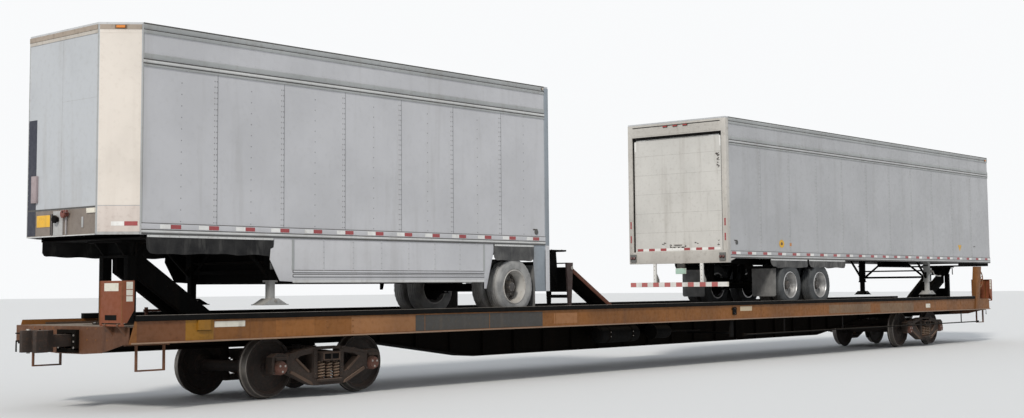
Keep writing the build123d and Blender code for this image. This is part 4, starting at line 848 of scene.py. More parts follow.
SOFTENED = (
    ("truck_a_sideframes truck_b_sideframes", 0.012, 3, None),
    ("truck_a_bolster truck_b_bolster", 0.010, 2, None),
    ("truck_a_brake_beams truck_b_brake_beams", 0.008, 2, None), ("coupler_a coupler_b", 0.022, 3, None),
    ("end_sill_a end_sill_b", 0.004, 2, None), ("bridge_plate_a bridge_plate_b", 0.005, 2, bridge_paint),
    ("hitch_a hitch_b", 0.008, 2, None), ("hitch_mid_base", 0.003, 2, None),
    ("hitch_mid_post", 0.006, 2, post_paint_and_shade), ("hitch_mid_head", 0.008, 2, lambda centre, normal: "black"),
    ("hitch_mid_strut", 0.005, 2, strut_paint_and_shade), ("brake_gear", 0.010, 2, None),
    ("hand_brake", 0.004, 2, None),
    ("short_trailer_landing_gear long_trailer_landing_gear", 0.008, 2, leg_paint_and_shade),
    ("short_trailer_running_gear long_trailer_bogie", 0.006, 2, None),
    ("short_trailer_rear_frame long_trailer_rear_frame short_trailer_nose", 0.006, 2, None),
    ("long_trailer_nose", 0.030, 4, apron_paint), ("short_trailer_belly", 0.005, 2, belly_paint_and_shade),
    ("side_sill_near side_sill_far", 0.004, 2, sill_paint)
)
for nodes, width, segments, paint in SOFTENED:
    for node in nodes.split():
        cuts = []
        if paint is bridge_paint:
            end = -1 if node.endswith("_a") else 1
            cuts = [(2, BRIDGE_FOOT + band) for band in PALE_BANDS] + [(0, end * x) for x in MARK_X]
        soften(node, BODY_OF[node], width, segments, paint, cuts)


# Trailer walls: mouldings, seams, rivets and tape

RIVET_PITCH = 0.0762
WIDE_PITCH = 0.1524
WALLS = (
    (
        "short", SHORT_WALL, "wall_short", "moulding", "seam_line", 1.22, 0.61, -13.099, 13,
        ("tape_white", "tape_red")),
    (
        "long", LONG_WALL, "wall_long", "moulding_soft", "seam_soft", 1.209, 0.6045, 0.750, 22,
        ("tape_red", "tape_white"))
)
# Low and high edge, how far out, and look: over the wall's bottom, the rail and the wall's top
LOW_RAIL = (
    (0.000, 0.026, 0.001, "moulding_dark"), (0.026, 0.056, 0.006, "bright"),
    (0.056, 0.070, 0.001, "moulding_dark"), (0.070, 0.142, 0.003, "wall"),
    (0.142, 0.151, 0.003, "moulding_dark")
)
FRIEZE = (
    (4.399, 4.428, 0.004, "moulding_grey"), (4.428, 4.448, 0.001, "moulding_dark"),
    (4.448, 4.484, 0.008, "bright"), (4.484, 4.504, 0.001, "moulding_dark"),
    (4.504, 4.571, 0.004, "moulding_grey")
)
TOP_RAIL = (
    (-0.111, -0.066, 0.003, "moulding_grey"), (-0.066, -0.050, 0.001, "moulding_dark"),
    (-0.050, 0.012, 0.006, "moulding_grey"), (0.012, 0.030, 0.003, "moulding_dark")
)


def moulding_section(y, side, low, high, proud):
    """The section of an extruded moulding, (y, z), with a rounded face."""
    face = [
        (y + side * proud * math.sin(math.pi * t) ** 0.5, low + (high - low) * t)
        for t in (0.06, 0.2, 0.5, 0.8, 0.94)]
    return [(y - side * 0.002, low)] + face + [(y - side * 0.002, high)]


def seam_places(ends, spacing):
    """Places evenly spread from end to end, at about this spacing."""
    count = round((ends[1] - ends[0]) / spacing)
    return [ends[0] + (ends[1] - ends[0]) * i / count for i in range(count + 1)]


def rivet_row(x, y, low, high, pitch):
    """Places of an upright row of rivets."""
    return [(x, y, low + 0.03 + pitch * i) for i in range(int((high - low - 0.05) / pitch) + 1)]


for name, (front, rear, bottom), look, bright, line, spacing, middle, first, tapes, colours in WALLS:
    for side, side_name in ((-1, "near"), (1, "far")):
        trim = Shape(f"{name}_trailer_mouldings_{side_name}")
        ends = (min(front, rear), max(front, rear))
        for base, bands in ((bottom, LOW_RAIL), (RAIL, FRIEZE), (WALL_TOP, TOP_RAIL)):
            for low, high, proud, colour in bands:
                colour = {"bright": bright, "wall": look}.get(colour, colour)
                trim.prism(
                    moulding_section(side * HALF, side, base + low, base + high, proud), "yz", ends, colour)
        trim.finish(smooth=50)
        seams = Shape(f"{name}_trailer_seams_{side_name}")
        heads = []
        heights = (bottom + 0.150, RAIL + 4.400)
        for x in seam_places(ends, spacing)[1:-1]:
            seams.box(about(x, 0.030), span(side, SHEET - 0.001, SHEET + 0.0025), heights, look)
            seams.box((x + 0.027, x + 0.037), span(side, SHEET - 0.001, SHEET + 0.0028), heights, line)
            for row in about(x, 0.018):
                heads += rivet_row(row, side * (SHEET + 0.0025), *heights, RIVET_PITCH)
        for x in seam_places(ends, spacing)[:-1]:
            heads += rivet_row(x + middle, side * SHEET, *heights, WIDE_PITCH)
        seams.rivets(heads, (0, side, 0), 0.010, 0.004, line, sides=5)
        heads = [
            (x, side * SHEET, z) for x in seam_places(ends, WIDE_PITCH)[1:-1]
            for z in (RAIL + 4.600, WALL_TOP - 0.140)]
        heads += [(x, side * (HALF + 0.004), bottom + 0.075) for x in seam_places(ends, 0.1016)[1:-1]]
        seams.rivets(heads, (0, side, 0), 0.008, 0.004, look, sides=5)
        seams.finish()
        tape = Shape(f"{name}_trailer_tape_{side_name}")
        for i in range(tapes):
            for start, colour in zip((0.0, 0.165), colours):
                x = first + 0.614 * i + start
                tape.box(
                    (x + 0.002, x + 0.163), span(side, HALF + 0.0035, HALF + 0.0055),
                    about(bottom + 0.106, 0.027), colour)
        tape.finish()


# Roofs with bows and rows of rivets

for name, nose, rear in (("short", S_NOSE, SHORT_REAR), ("long", LONG_NOSE, LONG_REAR)):
    roof = Shape(f"{name}_trailer_roof_trim")
    top = RAIL + 4.966
    ends = (min(nose, rear) + 0.5, max(nose, rear) - 0.5)
    for x in seam_places(ends, 0.61):
        bow = [
            (x + dx, top - drop)
            for dx, drop in ((-0.02, 0.004), (-0.012, 0.001), (0.012, 0.001), (0.02, 0.004))]
        roof.prism(bow, "xz", (-1.17, 1.17), "roof")
    for side in (-1, 1):
        heads = [
            (x, side * 1.190, top - 0.0035) for x in seam_places((ends[0] - 0.1, ends[1] + 0.1), WIDE_PITCH)]
        roof.rivets(heads, (0, 0, 1), 0.008, 0.003, "moulding", sides=5)
    roof.finish()


# Short trailer: nose with its chamfer panels and fittings

nose = Shape("short_trailer_nose_panels")
S_CORNER = 0.400
NOSE_LOW = RAIL + 2.230
NOSE_JOINT = NOSE_LOW + 0.370


def chamfer_panel(side, low, high, out, look, rows=(0.05, 0.95)):
    """A sheet on one slanting corner of the nose, with rivets along the rows."""
    a = (S_NOSE + S_CORNER - 0.012, side * (SHEET - 0.012))
    b = (S_NOSE + 0.012, side * (SHEET - S_CORNER + 0.012))
    n = Vector((-1, side, 0)).normalized()
    dx, dy = n.x * out, n.y * out
    nose.prism([a, b, (b[0] + dx, b[1] + dy), (a[0] + dx, a[1] + dy)], "xy", (low, high), look)
    for t in rows:
        x, y = a[0] + (b[0] - a[0]) * t, a[1] + (b[1] - a[1]) * t
        nose.rivets(rivet_row(x + dx, y + dy, low, high + 0.02, RIVET_PITCH), n, 0.007, 0.004, look, sides=5)


for side in (-1, 1):
    for low, high, out, look in ((
            NOSE_JOINT + 0.004, WALL_TOP - 0.110, 0.004,
            "cream"), (NOSE_LOW + 0.035, NOSE_JOINT - 0.004, 0.003, "cream_pink")):
        chamfer_panel(side, low, high, out, look)
    for low, high, out, look in (
            (NOSE_LOW, NOSE_LOW + 0.035, 0.008, "leg"), (WALL_TOP - 0.110, WALL_TOP - 0.062, 0.006, "cream"),
            (WALL_TOP - 0.062, WALL_TOP, 0.012, "nose_rail")):
        chamfer_panel(side, low, high, out, look, rows=())
    n = Vector((-1, side, 0)).normalized()
    along = Vector((n.y, -n.x, 0))
    middle = Vector((S_NOSE + S_CORNER / 2, side * (SHEET - S_CORNER / 2), WALL_TOP - 0.030))
    # Marker lamp on its base on the rail, white and red tape on the lower panel, and a row of rivets
    for s0, s1, out0, out1, z0, z1, look in (
            (-0.075, 0.075, 0.0, 0.018, -0.024, 0.024, "panel_brown"),
            (-0.055, 0.055, 0.0, 0.030, -0.016, 0.016, "lamp_amber"),
            (-0.093, 0.072, 0.002, 0.006, -2.565, -2.510, "tape_white"),
            (0.075, 0.240, 0.002, 0.006, -2.565, -2.510, "tape_red")):
        outline = ((s0, out0), (s1, out0), (s1, out1), (s0, out1))
        nose.loft([
            middle + along * (side * a) + n * b + Vector((0, 0, z)) for z in (z0, z1)
            for a, b in outline], look)
    heads = [middle + along * (0.03 * i) + n * 0.006 + Vector((0, 0, -0.052)) for i in range(-7, 8)]
    nose.rivets(heads, n, 0.007, 0.004, "cream", sides=5)
    # Corner mouldings between the chamfer, the side and the face
    for x, y in ((S_NOSE + S_CORNER, SHEET), (S_NOSE, SHEET - S_CORNER)):
        nose.tube([
            (x + 0.004, side * (y - 0.004), z)
            for z in (NOSE_LOW + 0.01, WALL_TOP - 0.004)], 0.011, "moulding_grey")
# Face: two sheets with a joint in the middle, a cross seam dark as painted shadow under the upper sheet, the
# rail on top and the lower panel
for low, high, out, look in (
        (NOSE_JOINT, WALL_TOP - 0.11, 0.002, "nose_face"), (NOSE_LOW, NOSE_JOINT - 0.022, 0.002, "leg_panel"),
        (NOSE_JOINT - 0.020, NOSE_JOINT - 0.002, 0.005, "moulding_dark"),
        (WALL_TOP - 0.110, WALL_TOP - 0.064, 0.010, "nose_rail_pale"),
        (WALL_TOP - 0.062, WALL_TOP, 0.016, "nose_rail"),
        (NOSE_LOW - 0.001, NOSE_LOW + 0.012, 0.012, "moulding")):
    nose.box((S_NOSE - out, S_NOSE + 0.002), (-0.800, 0.800), (low, high), look)
for y in (-0.790, 0.0, 0.790):
    heads = [(S_NOSE - 0.002, y, NOSE_JOINT + 0.05 + RIVET_PITCH * i) for i in range(29)]
    nose.rivets(heads, (-1, 0, 0), 0.007, 0.003, "nose_face", sides=5)
nose.box((S_NOSE - 0.003, S_NOSE), (-0.0015, 0.0015), (NOSE_JOINT, WALL_TOP - 0.11), "moulding_grey")
nose.box((S_NOSE - 0.003, S_NOSE), (-0.80, 0.0), rail(3.995, 3.998), "moulding_grey")
# Dark blue strip near the far edge and the flat box on it
nose.box((S_NOSE - 0.004, S_NOSE), (0.600, 0.805), (NOSE_LOW + 0.02, NOSE_LOW + 1.580), "navy")
nose.finish()

fittings = Shape("short_trailer_nose_fittings")
for out, back, y0, y1, z0, z1, look in (
        (0.040, 0.004, 0.545, 0.665, 0.460, 0.820, "pink_box"),
        (0.010, 0.002, 0.235, 0.560, 0.130, 0.290, "yellow"),
        (0.030, 0.002, 0.165, 0.205, 0.020, 0.300, "panel_dark"),
        (0.018, 0.002, -0.075, 0.150, 0.010, 0.335, "leg"),
        (0.020, 0.002, -0.810, -0.620, 0.280, 0.345, "label"),
        (0.012, 0.002, -0.540, -0.500, 0.100, 0.240, "moulding_grey"),
        (0.085, 0.050, -0.250, -0.160, 0.300, 0.335, "gladhand")):
    fittings.box((S_NOSE - out, S_NOSE - back), (y0, y1), (NOSE_LOW + z0, NOSE_LOW + z1), look)
# Couplings for the air lines and the lamp plug
for y, z, look in ((-0.160, 0.285, "gladhand"), (0.040, 0.225, "black")):
    profile = [
        (-0.002, 0.034), (-0.040, 0.034), (-0.050, 0.052), (-0.078, 0.052), (-0.085, 0.040), (-0.085, 0.001)]
    fittings.lathe((S_NOSE, y, NOSE_LOW + z), profile, look, axis="x", steps=24)
fittings.tube([(S_NOSE - 0.020, -0.160, NOSE_LOW + z) for z in (0.250, 0.020)], 0.012, "moulding_grey")
fittings.finish(bevel=0.002, smooth=35)


def lamp(piece, place, out, radius, look):
    """A small domed lamp in its dark ring, which looks along x or y."""
    axis, sign = ("x", out[0]) if out[0] else ("y", out[1])
    dome = [(0.0, 1.15), (0.012, 1.15), (0.014, 1.02), (0.020, 0.9), (0.027, 0.6)]
    profile = [(sign * along, radius * size) for along, size in dome] + [(sign * 0.030, 0.001)]
    piece.lathe(place, profile, ["black", "black", look, look, look], axis=axis, steps=20)


lamps = Shape("trailer_lamps")
for side in (-1, 1):
    lamp(lamps, (SHORT_REAR - 0.170, side * (HALF + 0.004), WALL_TOP - 0.020), (0, side), 0.022, "lamp_pale")
    lamp(lamps, (13.85, side * (HALF + 0.004), WALL_TOP - 0.055), (0, side), 0.022, "lamp_amber")
for y in (-0.75, -0.15, 0.0, 0.15, 0.75):
    lamp(lamps, (LONG_NOSE, y, WALL_TOP - 0.055), (1, 0), 0.028, "lamp_amber")
for y in (-0.25, 0.0, 0.25):
    for x, out in ((LONG_REAR, -1), (SHORT_REAR, 1)):
        lamps.box((x, x + out * 0.012), about(y, 0.060), rail(4.845, 4.885), "panel_dark")
        lamps.box((x + out * 0.012, x + out * 0.026), about(y, 0.050), rail(4.851, 4.879), "lamp_red")
lamps.finish(smooth=35)


# Flatcar details

car = Shape("flatcar_side_details")
HALF_CAR = 13.615
SILL_FACE = 1.320
SILL_LOW = RAIL + 0.839
for side in (-1, 1):
    x_ends = (-13.525, 12.585) if side < 0 else (-12.585, 13.525)
    # Pockets for chains behind the rub rail
    for x in seam_places((x_ends[0] + 0.4, x_ends[1] - 0.4), 1.02):
        car.box(about(x, 0.035), span(side, 1.255, 1.2795), (RUB_LOW + 0.008, RUB_HIGH - 0.010), "car_dark")
    # Stiffeners and weld lines of the web
    for x in (-11.7, -8.3, -6.8, -5.1, -3.4, -1.7, 0.0, 1.7, 3.4, 5.1, 6.8, 8.3, 11.7):
        car.box(
            about(x, 0.006), span(side, SILL_FACE - 0.001, SILL_FACE + 0.003), (SILL_LOW + 0.02, RUB_LOW),
            "car")
    for x in (-10.3, -9.8, 9.8, 10.3):
        heads = [(x, side * SILL_FACE, z) for z in (SILL_LOW + 0.06, SILL_LOW + 0.14, SILL_LOW + 0.22)]
        car.rivets(heads, (0, side, 0), 0.014, 0.010, "car")
# Patches of the near side: yellow end panel with its box, blank labels and repainted panels
PATCHES = (
    ("yellow_dull", -12.755, -12.306, 0.025, 0.285, 0.0018),
    ("label", -12.290, -11.780, 0.185, 0.262, 0.0022), ("panel_dark", -8.500, -5.450, 0.028, 0.270, 0.0020),
    ("panel_tan", -5.140, -4.505, 0.060, 0.235, 0.0016),
    ("panel_orange", -11.243, -10.540, 0.03, 0.26, 0.0012), ("panel_tan", -9.830, -8.505, 0.03, 0.27, 0.0012),
    ("end_brown", -13.500, -12.757, 0.012, 0.286, 0.0010), ("panel_brown", 7.10, 8.90, 0.03, 0.24, 0.0012),
    ("label_tan", 0.860, 1.310, 0.170, 0.262, 0.0022), ("label", 9.60, 9.85, 0.10, 0.20, 0.0022),
    ("panel_brown", 4.60, 6.60, 0.05, 0.24, 0.0010)
)
for look, x0, x1, low, high, thick in PATCHES:
    for side in (-1, 1):
        a, b = (x0, x1) if side < 0 else (-x1, -x0)
        car.box(
            (a, b), span(side, SILL_FACE - 0.001, SILL_FACE + thick), (SILL_LOW + low, SILL_LOW + high), look)
# Yellow box by the end, and the valve's handle box in the middle
for side in (-1, 1):
    x = side * 12.47
    car.box(
        about(x, 0.10), span(side, SILL_FACE, 1.3485), (SILL_LOW + 0.150, SILL_LOW + 0.285), "yellow_dull")
    car.box(about(x, 0.105), span(side, SILL_FACE, 1.3490), (SILL_LOW + 0.146, SILL_LOW + 0.152), "car_dark")
    x = side * -0.62
    car.box(about(x, 0.10), span(side, SILL_FACE, 1.335), (SILL_LOW + 0.205, SILL_LOW + 0.225), "car_dark")
    car.box(about(x, 0.06), span(side, SILL_FACE, 1.347), (SILL_LOW + 0.10, SILL_LOW + 0.25), "black")
    car.rivets([(x, side * 1.347, SILL_LOW + z) for z in (0.13, 0.22)], (0, side, 0), 0.008, 0.002, "bolt")
car.finish()

ends = Shape("flatcar_end_details")
for end in (-1, 1):
    face = end * HALF_CAR
    # Striker casting round the shank, the carrier below it and its bolts
    for y0, y1, z0, z1 in (
            (-0.22, 0.22, 0.970, 1.015), (-0.22, -0.128, 0.750, 0.970), (0.128, 0.22, 0.750, 0.970),
            (-0.22, 0.22, 0.715, 0.772)):
        ends.box((face, face + end * 0.055), (y0, y1), (RAIL + z0, RAIL + z1), "car_dark")
    heads = [(face + end * 0.055, y, RAIL + z) for y in (-0.175, 0.175) for z in (0.78, 0.86, 0.94)]
    ends.rivets(heads, (end, 0, 0), 0.016, 0.012, "bolt")
    # Handholds, uncoupling lever, and its brackets
    for y in (-1.02, 0.62, 1.02):
        if end * y > 0.5 and y < 0 or y == 0.62 and end > 0:
            continue
        handhold = ((0, -0.18), (0.07, -0.18), (0.07, 0.18), (0, 0.18))
        ends.tube([(face + end * out, y + dy, RAIL + 0.95) for out, dy in handhold], 0.010, "car_dark")
    lever = (
        (0.075, -1.18, 0.70), (0.075, -1.18, 0.845), (0.075, -0.45, 0.845), (0.30, -0.20, 0.980),
        (0.40, -0.06, 1.02))
    ends.tube([(face + end * out, end * y, RAIL + z) for out, y, z in lever], 0.012, "car_dark")
    for y in (-1.10, -0.50):
        ends.box(
            (face, face + end * 0.09), (end * y - 0.012, end * y + 0.012), rail(0.815, 0.860), "car_dark")
    # Knuckle pin with its head, and the rivets of the end sill
    pin = [(-0.155, 0.001), (-0.155, 0.022), (0.142, 0.022), (0.142, 0.034), (0.156, 0.030), (0.158, 0.001)]
    ends.lathe((end * KNUCKLE, end * -0.105, RAIL + 0.876), pin, "bolt", axis="z", steps=20)
    heads = [(face, y, z) for y in (-0.85, -0.6, -0.4, 0.4, 0.6, 0.85) for z in rail(0.885, 1.03)]
    ends.rivets(heads, (end, 0, 0), 0.012, 0.008, "car")
ends.finish(smooth=35)

for end, letter in ((-1, "a"), (1, "b")):
    # Bridge plate: a blank label, the hand hole, edges, stop bars and rivets
    plate = Shape(f"bridge_plate_{letter}_details", f"bridge_plate_{letter}_swing")
    face = end * (HALF_CAR + 0.120)
    foot = BRIDGE_FOOT
    plate.box((face, face + end * 0.0015), (-1.262, -0.955), (foot + 0.400, foot + 0.500), "label")
    plate.box((face, face + end * 0.003), (-1.225, -0.975), (foot + 0.035, foot + 0.100), "black")
    for y in (-1.3475, -0.8625):
        plate.box((face - end * 0.002, face + end * 0.006), (y, y + 0.010), (foot, foot + 0.53), "car")
    for y in (-1.18, -1.02):
        plate.box(
            (face - end * 0.012, face - end * 0.060), about(y, 0.006), (foot + 0.03, foot + 0.50), "car")
    heads = [(face, y, foot + z) for y in (-1.30, -0.90) for z in (0.06, 0.20, 0.34, 0.48)]
    plate.rivets(heads, (end, 0, 0), 0.010, 0.006, "car")
    plate.finish()

deck = Shape("deck_details")
for x in seam_places((-13.4, 13.4), 2.68)[1:-1]:
    deck.box(about(x, 0.006), (-1.30, 1.30), (DECK - 0.001, DECK + 0.002), "deck")
for side in (-1, 1):
    # Low guide angles along the wheel tracks and rows of tie-down slots
    for y in (0.335, 1.262):
        deck.box(
            (-13.2, 13.2), about(side * y, 0.004), (DECK, DECK + 0.004 if y < 1 else DECK + 0.030), "deck")
    for x in seam_places((-12.6, 12.6), 1.4):
        under_wheels = any(abs(x - axle) < 0.75 for axle in (SHORT_AXLE,) + LONG_AXLES)
        if under_wheels or any(low < x < high for low, high in ((-13.5, -11.0), (11.0, 13.6), (-4.0, 0.0))):
            continue
        deck.box(about(x, 0.10), span(side, 0.52, 0.60), (DECK, DECK + 0.006), "deck")
        heads = [(x + d, side * y, DECK + 0.006) for d in (-0.08, 0.08) for y in (0.535, 0.585)]
        deck.rivets(heads, (0, 0, 1), 0.009, 0.006, "bolt")
# Low frame with two posts beside the left hitch, on the far side
deck.box((-11.84, -11.24), (0.88, 0.92), (DECK, DECK + 0.030), "rust_red")
for x in (-11.80, -11.28):
    deck.box(about(x, 0.018), (0.88, 0.92), (DECK, DECK + 0.215), "rust_red")
deck.box((-11.84, -11.24), (0.885, 0.915), (DECK + 0.150, DECK + 0.185), "rust_red")
deck.finish()

# Hitch details on the car: bolts of the feet and posts, pins and release handles
hitches = Shape("hitch_details")
for kingpin, lean, head in ((SHORT_KINGPIN, 1, RAIL + 2.190), (LONG_KINGPIN, -1, RAIL + 2.000)):
    for y in (-0.34, 0.34):
        hitches.rivets([
            (kingpin + lean * x, y, DECK + 0.020) for x in (-0.15, 0.09)], (0, 0, 1), 0.018, 0.016, "bolt")
    for side in (-1, 1):
        bolts = [
            (kingpin - lean * 0.1005, side * 0.288, head - 0.03 - z)
            for z in (0.24, 0.36, 0.48, 0.62, 0.74, 0.86)]
        hitches.rivets(bolts, (-lean, 0, 0), 0.013, 0.010, "black")
        heads = [(kingpin + lean * x, side * 0.2305, RAIL + z) for x, z in ((0.62, 1.56), (0.72, 1.50))]
        hitches.rivets(heads, (0, side, 0), 0.016, 0.010, "black")
        # Pins at the strut's foot and head
        for x, z, pin in (
                (1.40, DECK + 0.075, ((0.229, 0.040), (0.262, 0.040), (0.266, 0.034), (0.266, 0.001))),
                (0.09, head - 0.21, ((0.229, 0.048), (0.270, 0.048), (0.275, 0.040), (0.275, 0.001)))):
            hitches.lathe((kingpin + lean * x, 0, z), [(side * a, r) for a, r in pin], "black", steps=20)
    handle = ((0, -0.39, 0.05), (0.04, -0.44, 0.05), (0.04, -0.44, 0.22))
    hitches.tube([(kingpin - lean * x, y, head - z) for x, y, z in handle], 0.012, "black")
hitches.finish(smooth=35)

# Under the car: tank ends and straps, brake cylinder, pipe runs and sill stiffeners
under = Shape("underframe_details")
TANK_Y, CYLINDER_Y, TANK_Z = -0.62, -0.56, RAIL + 0.64
TANK_END = ((0, 0.161), (0.03, 0.155), (0.06, 0.13), (0.085, 0.08), (0.092, 0.001))
for x, out in ((-3.0, -1), (-1.9, 1)):
    under.lathe((x, TANK_Y, TANK_Z), [(out * a, r) for a, r in TANK_END], "black", axis="x", steps=40)
for x in (-2.8, -2.1):
    under.ring(
        (x, TANK_Y, TANK_Z), [(-0.02, 0.160), (-0.02, 0.165), (0.02, 0.165), (0.02, 0.160)], "car_dark",
        axis="x", steps=40)
    under.rivets([(x, -0.786, z) for z in rail(0.60, 0.68)], (0, -1, 0), 0.012, 0.012, "bolt")
CYLINDER_END = [(0, 0.132), (0.02, 0.128), (0.05, 0.10), (0.055, 0.045), (0.12, 0.040), (0.12, 0.001)]
under.lathe((-0.7, CYLINDER_Y, TANK_Z), CYLINDER_END, "black", axis="x", steps=36)
under.ring(
    (-1.2, CYLINDER_Y, TANK_Z), [(-0.01, 0.128), (-0.01, 0.148), (0.015, 0.148), (0.015, 0.128)], "black",
    axis="x", steps=36)
AIR_PIPE = ((-13.45, 0.34), (-8.2, 0.34), (-7.9, 0.40), (7.9, 0.40), (8.2, 0.34), (13.45, 0.34))
under.tube([(x, y, RAIL + 0.80) for x, y in AIR_PIPE], 0.021, "black", 10)
under.tube([(-0.58, CYLINDER_Y, TANK_Z), (0.55, CYLINDER_Y, RAIL + 0.62)], 0.016, "black")
for side in (-1, 1):
    for x in seam_places((-8.2, 8.2), 0.82):
        deep = RAIL + 0.376 + max(0.0, abs(x) - 6.0) * 0.136
        under.box(about(x, 0.005), span(side, 0.179, 0.236), (deep, DECK - 0.026), "car_dark")
    heads = [(x, side * 0.1795, RAIL + 0.99) for x in seam_places((-13.4, 13.4), 0.20)]
    under.rivets(heads, (0, side, 0), 0.012, 0.009, "car_dark", sides=5)
under.finish(smooth=35)

# Truck details: brake shoes, rods, wear plates and the webs of the side frames
SHOE_TURNS = [math.radians(7 * k - 36) for k in range(9)]
ARM_BORDERS = (
    (((0.29, 0.150), (0.35, 0.160), (0.72, 0.335), (0.70, 0.372), (0.33, 0.200)), "truck_pale"),
    (((0.50, 0.655), (0.25, 0.690), (0.25, 0.655), (0.50, 0.622), (0.74, 0.570), (0.745, 0.600)), "truck"),
    (((0.215, 0.250), (0.290, 0.250), (0.290, 0.640), (0.215, 0.640)), "truck"),
    (((0.385, 0.330), (0.62, 0.520), (0.60, 0.545), (0.36, 0.350)), "truck_pale")
)
BOLSTER_END = (
    (-0.162, -0.138, 0.012, 0.495, 0.600, "truck_pale"), (-0.012, 0.012, 0.012, 0.495, 0.600, "truck"),
    (0.138, 0.162, 0.012, 0.495, 0.600, "truck_pale"), (-0.17, 0.17, 0.010, 0.590, 0.606, "truck_pale"),
    (-0.162, 0.162, 0.009, 0.495, 0.510, "truck_pale"), (-0.138, 0.138, 0.003, 0.510, 0.590, "chassis")
)
for letter, truck_x in zip("ab", TRUCK_X):
    gear = Shape(f"truck_{letter}_details", f"truck_{letter}")
    for end in (-1, 1):
        beam = truck_x + end * (AXLE_X - WHEEL_R - 0.095)
        for side in (-1, 1):
            shoe = []
            for radius, turns in ((WHEEL_R + 0.012, SHOE_TURNS), (WHEEL_R + 0.052, SHOE_TURNS[::-1])):
                shoe += [
                    (truck_x + end * (AXLE_X - radius * math.cos(t)), AXLE_Z + radius * math.sin(t))
                    for t in turns]
            gear.prism(shoe, "xz", span(side, 0.715, 0.800), "truck")
            gear.box(
                (beam, beam + end * 0.05), span(side, 0.735, 0.78), (AXLE_Z - 0.09, AXLE_Z - 0.03), "truck")
        gear.prism([
            (beam - 0.03, 0.75), (beam + 0.03, 0.75), (beam - end * 0.12, 0.05), (beam - end * 0.12, -0.05),
            (beam + 0.03, -0.75), (beam - 0.03, -0.75), (beam - end * 0.17, -0.05),
            (beam - end * 0.17, 0.05)], "xy", (AXLE_Z - 0.08, AXLE_Z - 0.04), "truck")
    gear.tube([
        (truck_x - 0.50, -0.12, AXLE_Z - 0.055), (truck_x + 0.50, 0.12, AXLE_Z - 0.055)], 0.016, "truck")
    for side in (-1, 1):
        out = side * (FRAME_Y + 0.070)
        for mirror in (-1, 1):
            # Raised borders of the arms, the top chord and the columns; the lower arms are pale as painted
            # sunlight
            for outline, shade in ARM_BORDERS:
                points = [(truck_x + mirror * x, RAIL + z) for x, z in outline]
                gear.prism(points, "xz", (out - side * 0.002, out + side * 0.014), shade)
            # Bearing adapter's crown and the frame key below the bearing
            cup = truck_x + mirror * AXLE_X
            gear.box(
                about(cup, 0.085), span(side, FRAME_Y - 0.085, FRAME_Y + 0.087),
                (AXLE_Z + 0.1055, AXLE_Z + 0.128), "bearing")
            for key in about(cup, 0.130):
                gear.box(
                    about(key, 0.020), span(side, FRAME_Y - 0.06, FRAME_Y + 0.08), rail(0.335, 0.360),
                    "truck")
            heads = [
                (truck_x + mirror * 0.252, out + side * 0.014, RAIL + z) for z in (0.30, 0.38, 0.46, 0.56)]
            gear.rivets(heads, (0, side, 0), 0.012, 0.010, "truck")
        # Bolster end with its ribs, the borders pale as painted sunlight and a black plate in its recess as
        # painted shade
        face = side * 1.145
        for x0, x1, proud, low, high, look in BOLSTER_END:
            gear.box(
                (truck_x + x0, truck_x + x1), (face, face + side * proud), (RAIL + low, RAIL + high), look)
    gear.finish(smooth=35)


# Rubber flaps, which hang in shallow folds

def wavy_sheet(piece, x_ends, z_ends, y, side, look, seed):
    """A hanging rubber sheet whose folds grow towards its lower edge."""
    rand = random.Random(seed)
    waves = [(rand.uniform(3.0, 14.0), rand.uniform(0, 6.28), rand.uniform(0.3, 1.0)) for _ in range(6)]
    total = sum(w[2] for w in waves)
    columns = int((x_ends[1] - x_ends[0]) / 0.035)
    rows = 7
    fold, corner, thick = 0.026, 0.07, 0.008
    points = []
    for layer in (0.0, -thick):
        for i in range(columns + 1):
            t = i / columns
            x = x_ends[0] + (x_ends[1] - x_ends[0]) * t
            wave = sum(a * math.sin(f * x + p) for f, p, a in waves) / total * 1.6
            edge = min(x - x_ends[0], x_ends[1] - x)
            drop = (z_ends[1] - z_ends[0]) - 0.012 * (1 + wave)
            if edge < corner:
                drop -= corner * 0.8 * (1 - edge / corner) ** 2
            for j in range(rows + 1):
                s = j / rows
                points.append((x, y + side * (layer + fold * wave * s * s), z_ends[1] - drop * s))
    n = rows + 1
    size = (columns + 1) * n
    faces = []
    for i in range(columns):
        for j in range(rows):
            a = i * n + j
            faces += [(a, a + 1, a + 1 + n, a + n), (size + a, size + a + n, size + a + 1 + n, size + a + 1)]
    for i in range(columns):
        for j in (0, rows):
            a = i * n + j
            faces.append((a, a + n, size + a + n, size + a))
    for j in range(rows):
        for i in (0, columns):
            a = i * n + j
            faces.append((a, a + 1, size + a + 1, size + a))
    piece.add(points, faces, look)


SHORT_APRON = (-13.300, -11.200, RAIL + 1.975, RAIL + 2.230)
SHORT_ARCH = (-6.550, -5.535, RAIL + 1.950, RAIL + 2.230)
LONG_APRONS = ((2.290, 3.860, RAIL + 1.890, RAIL + 2.080), (3.930, 5.620, RAIL + 1.890, RAIL + 2.080))


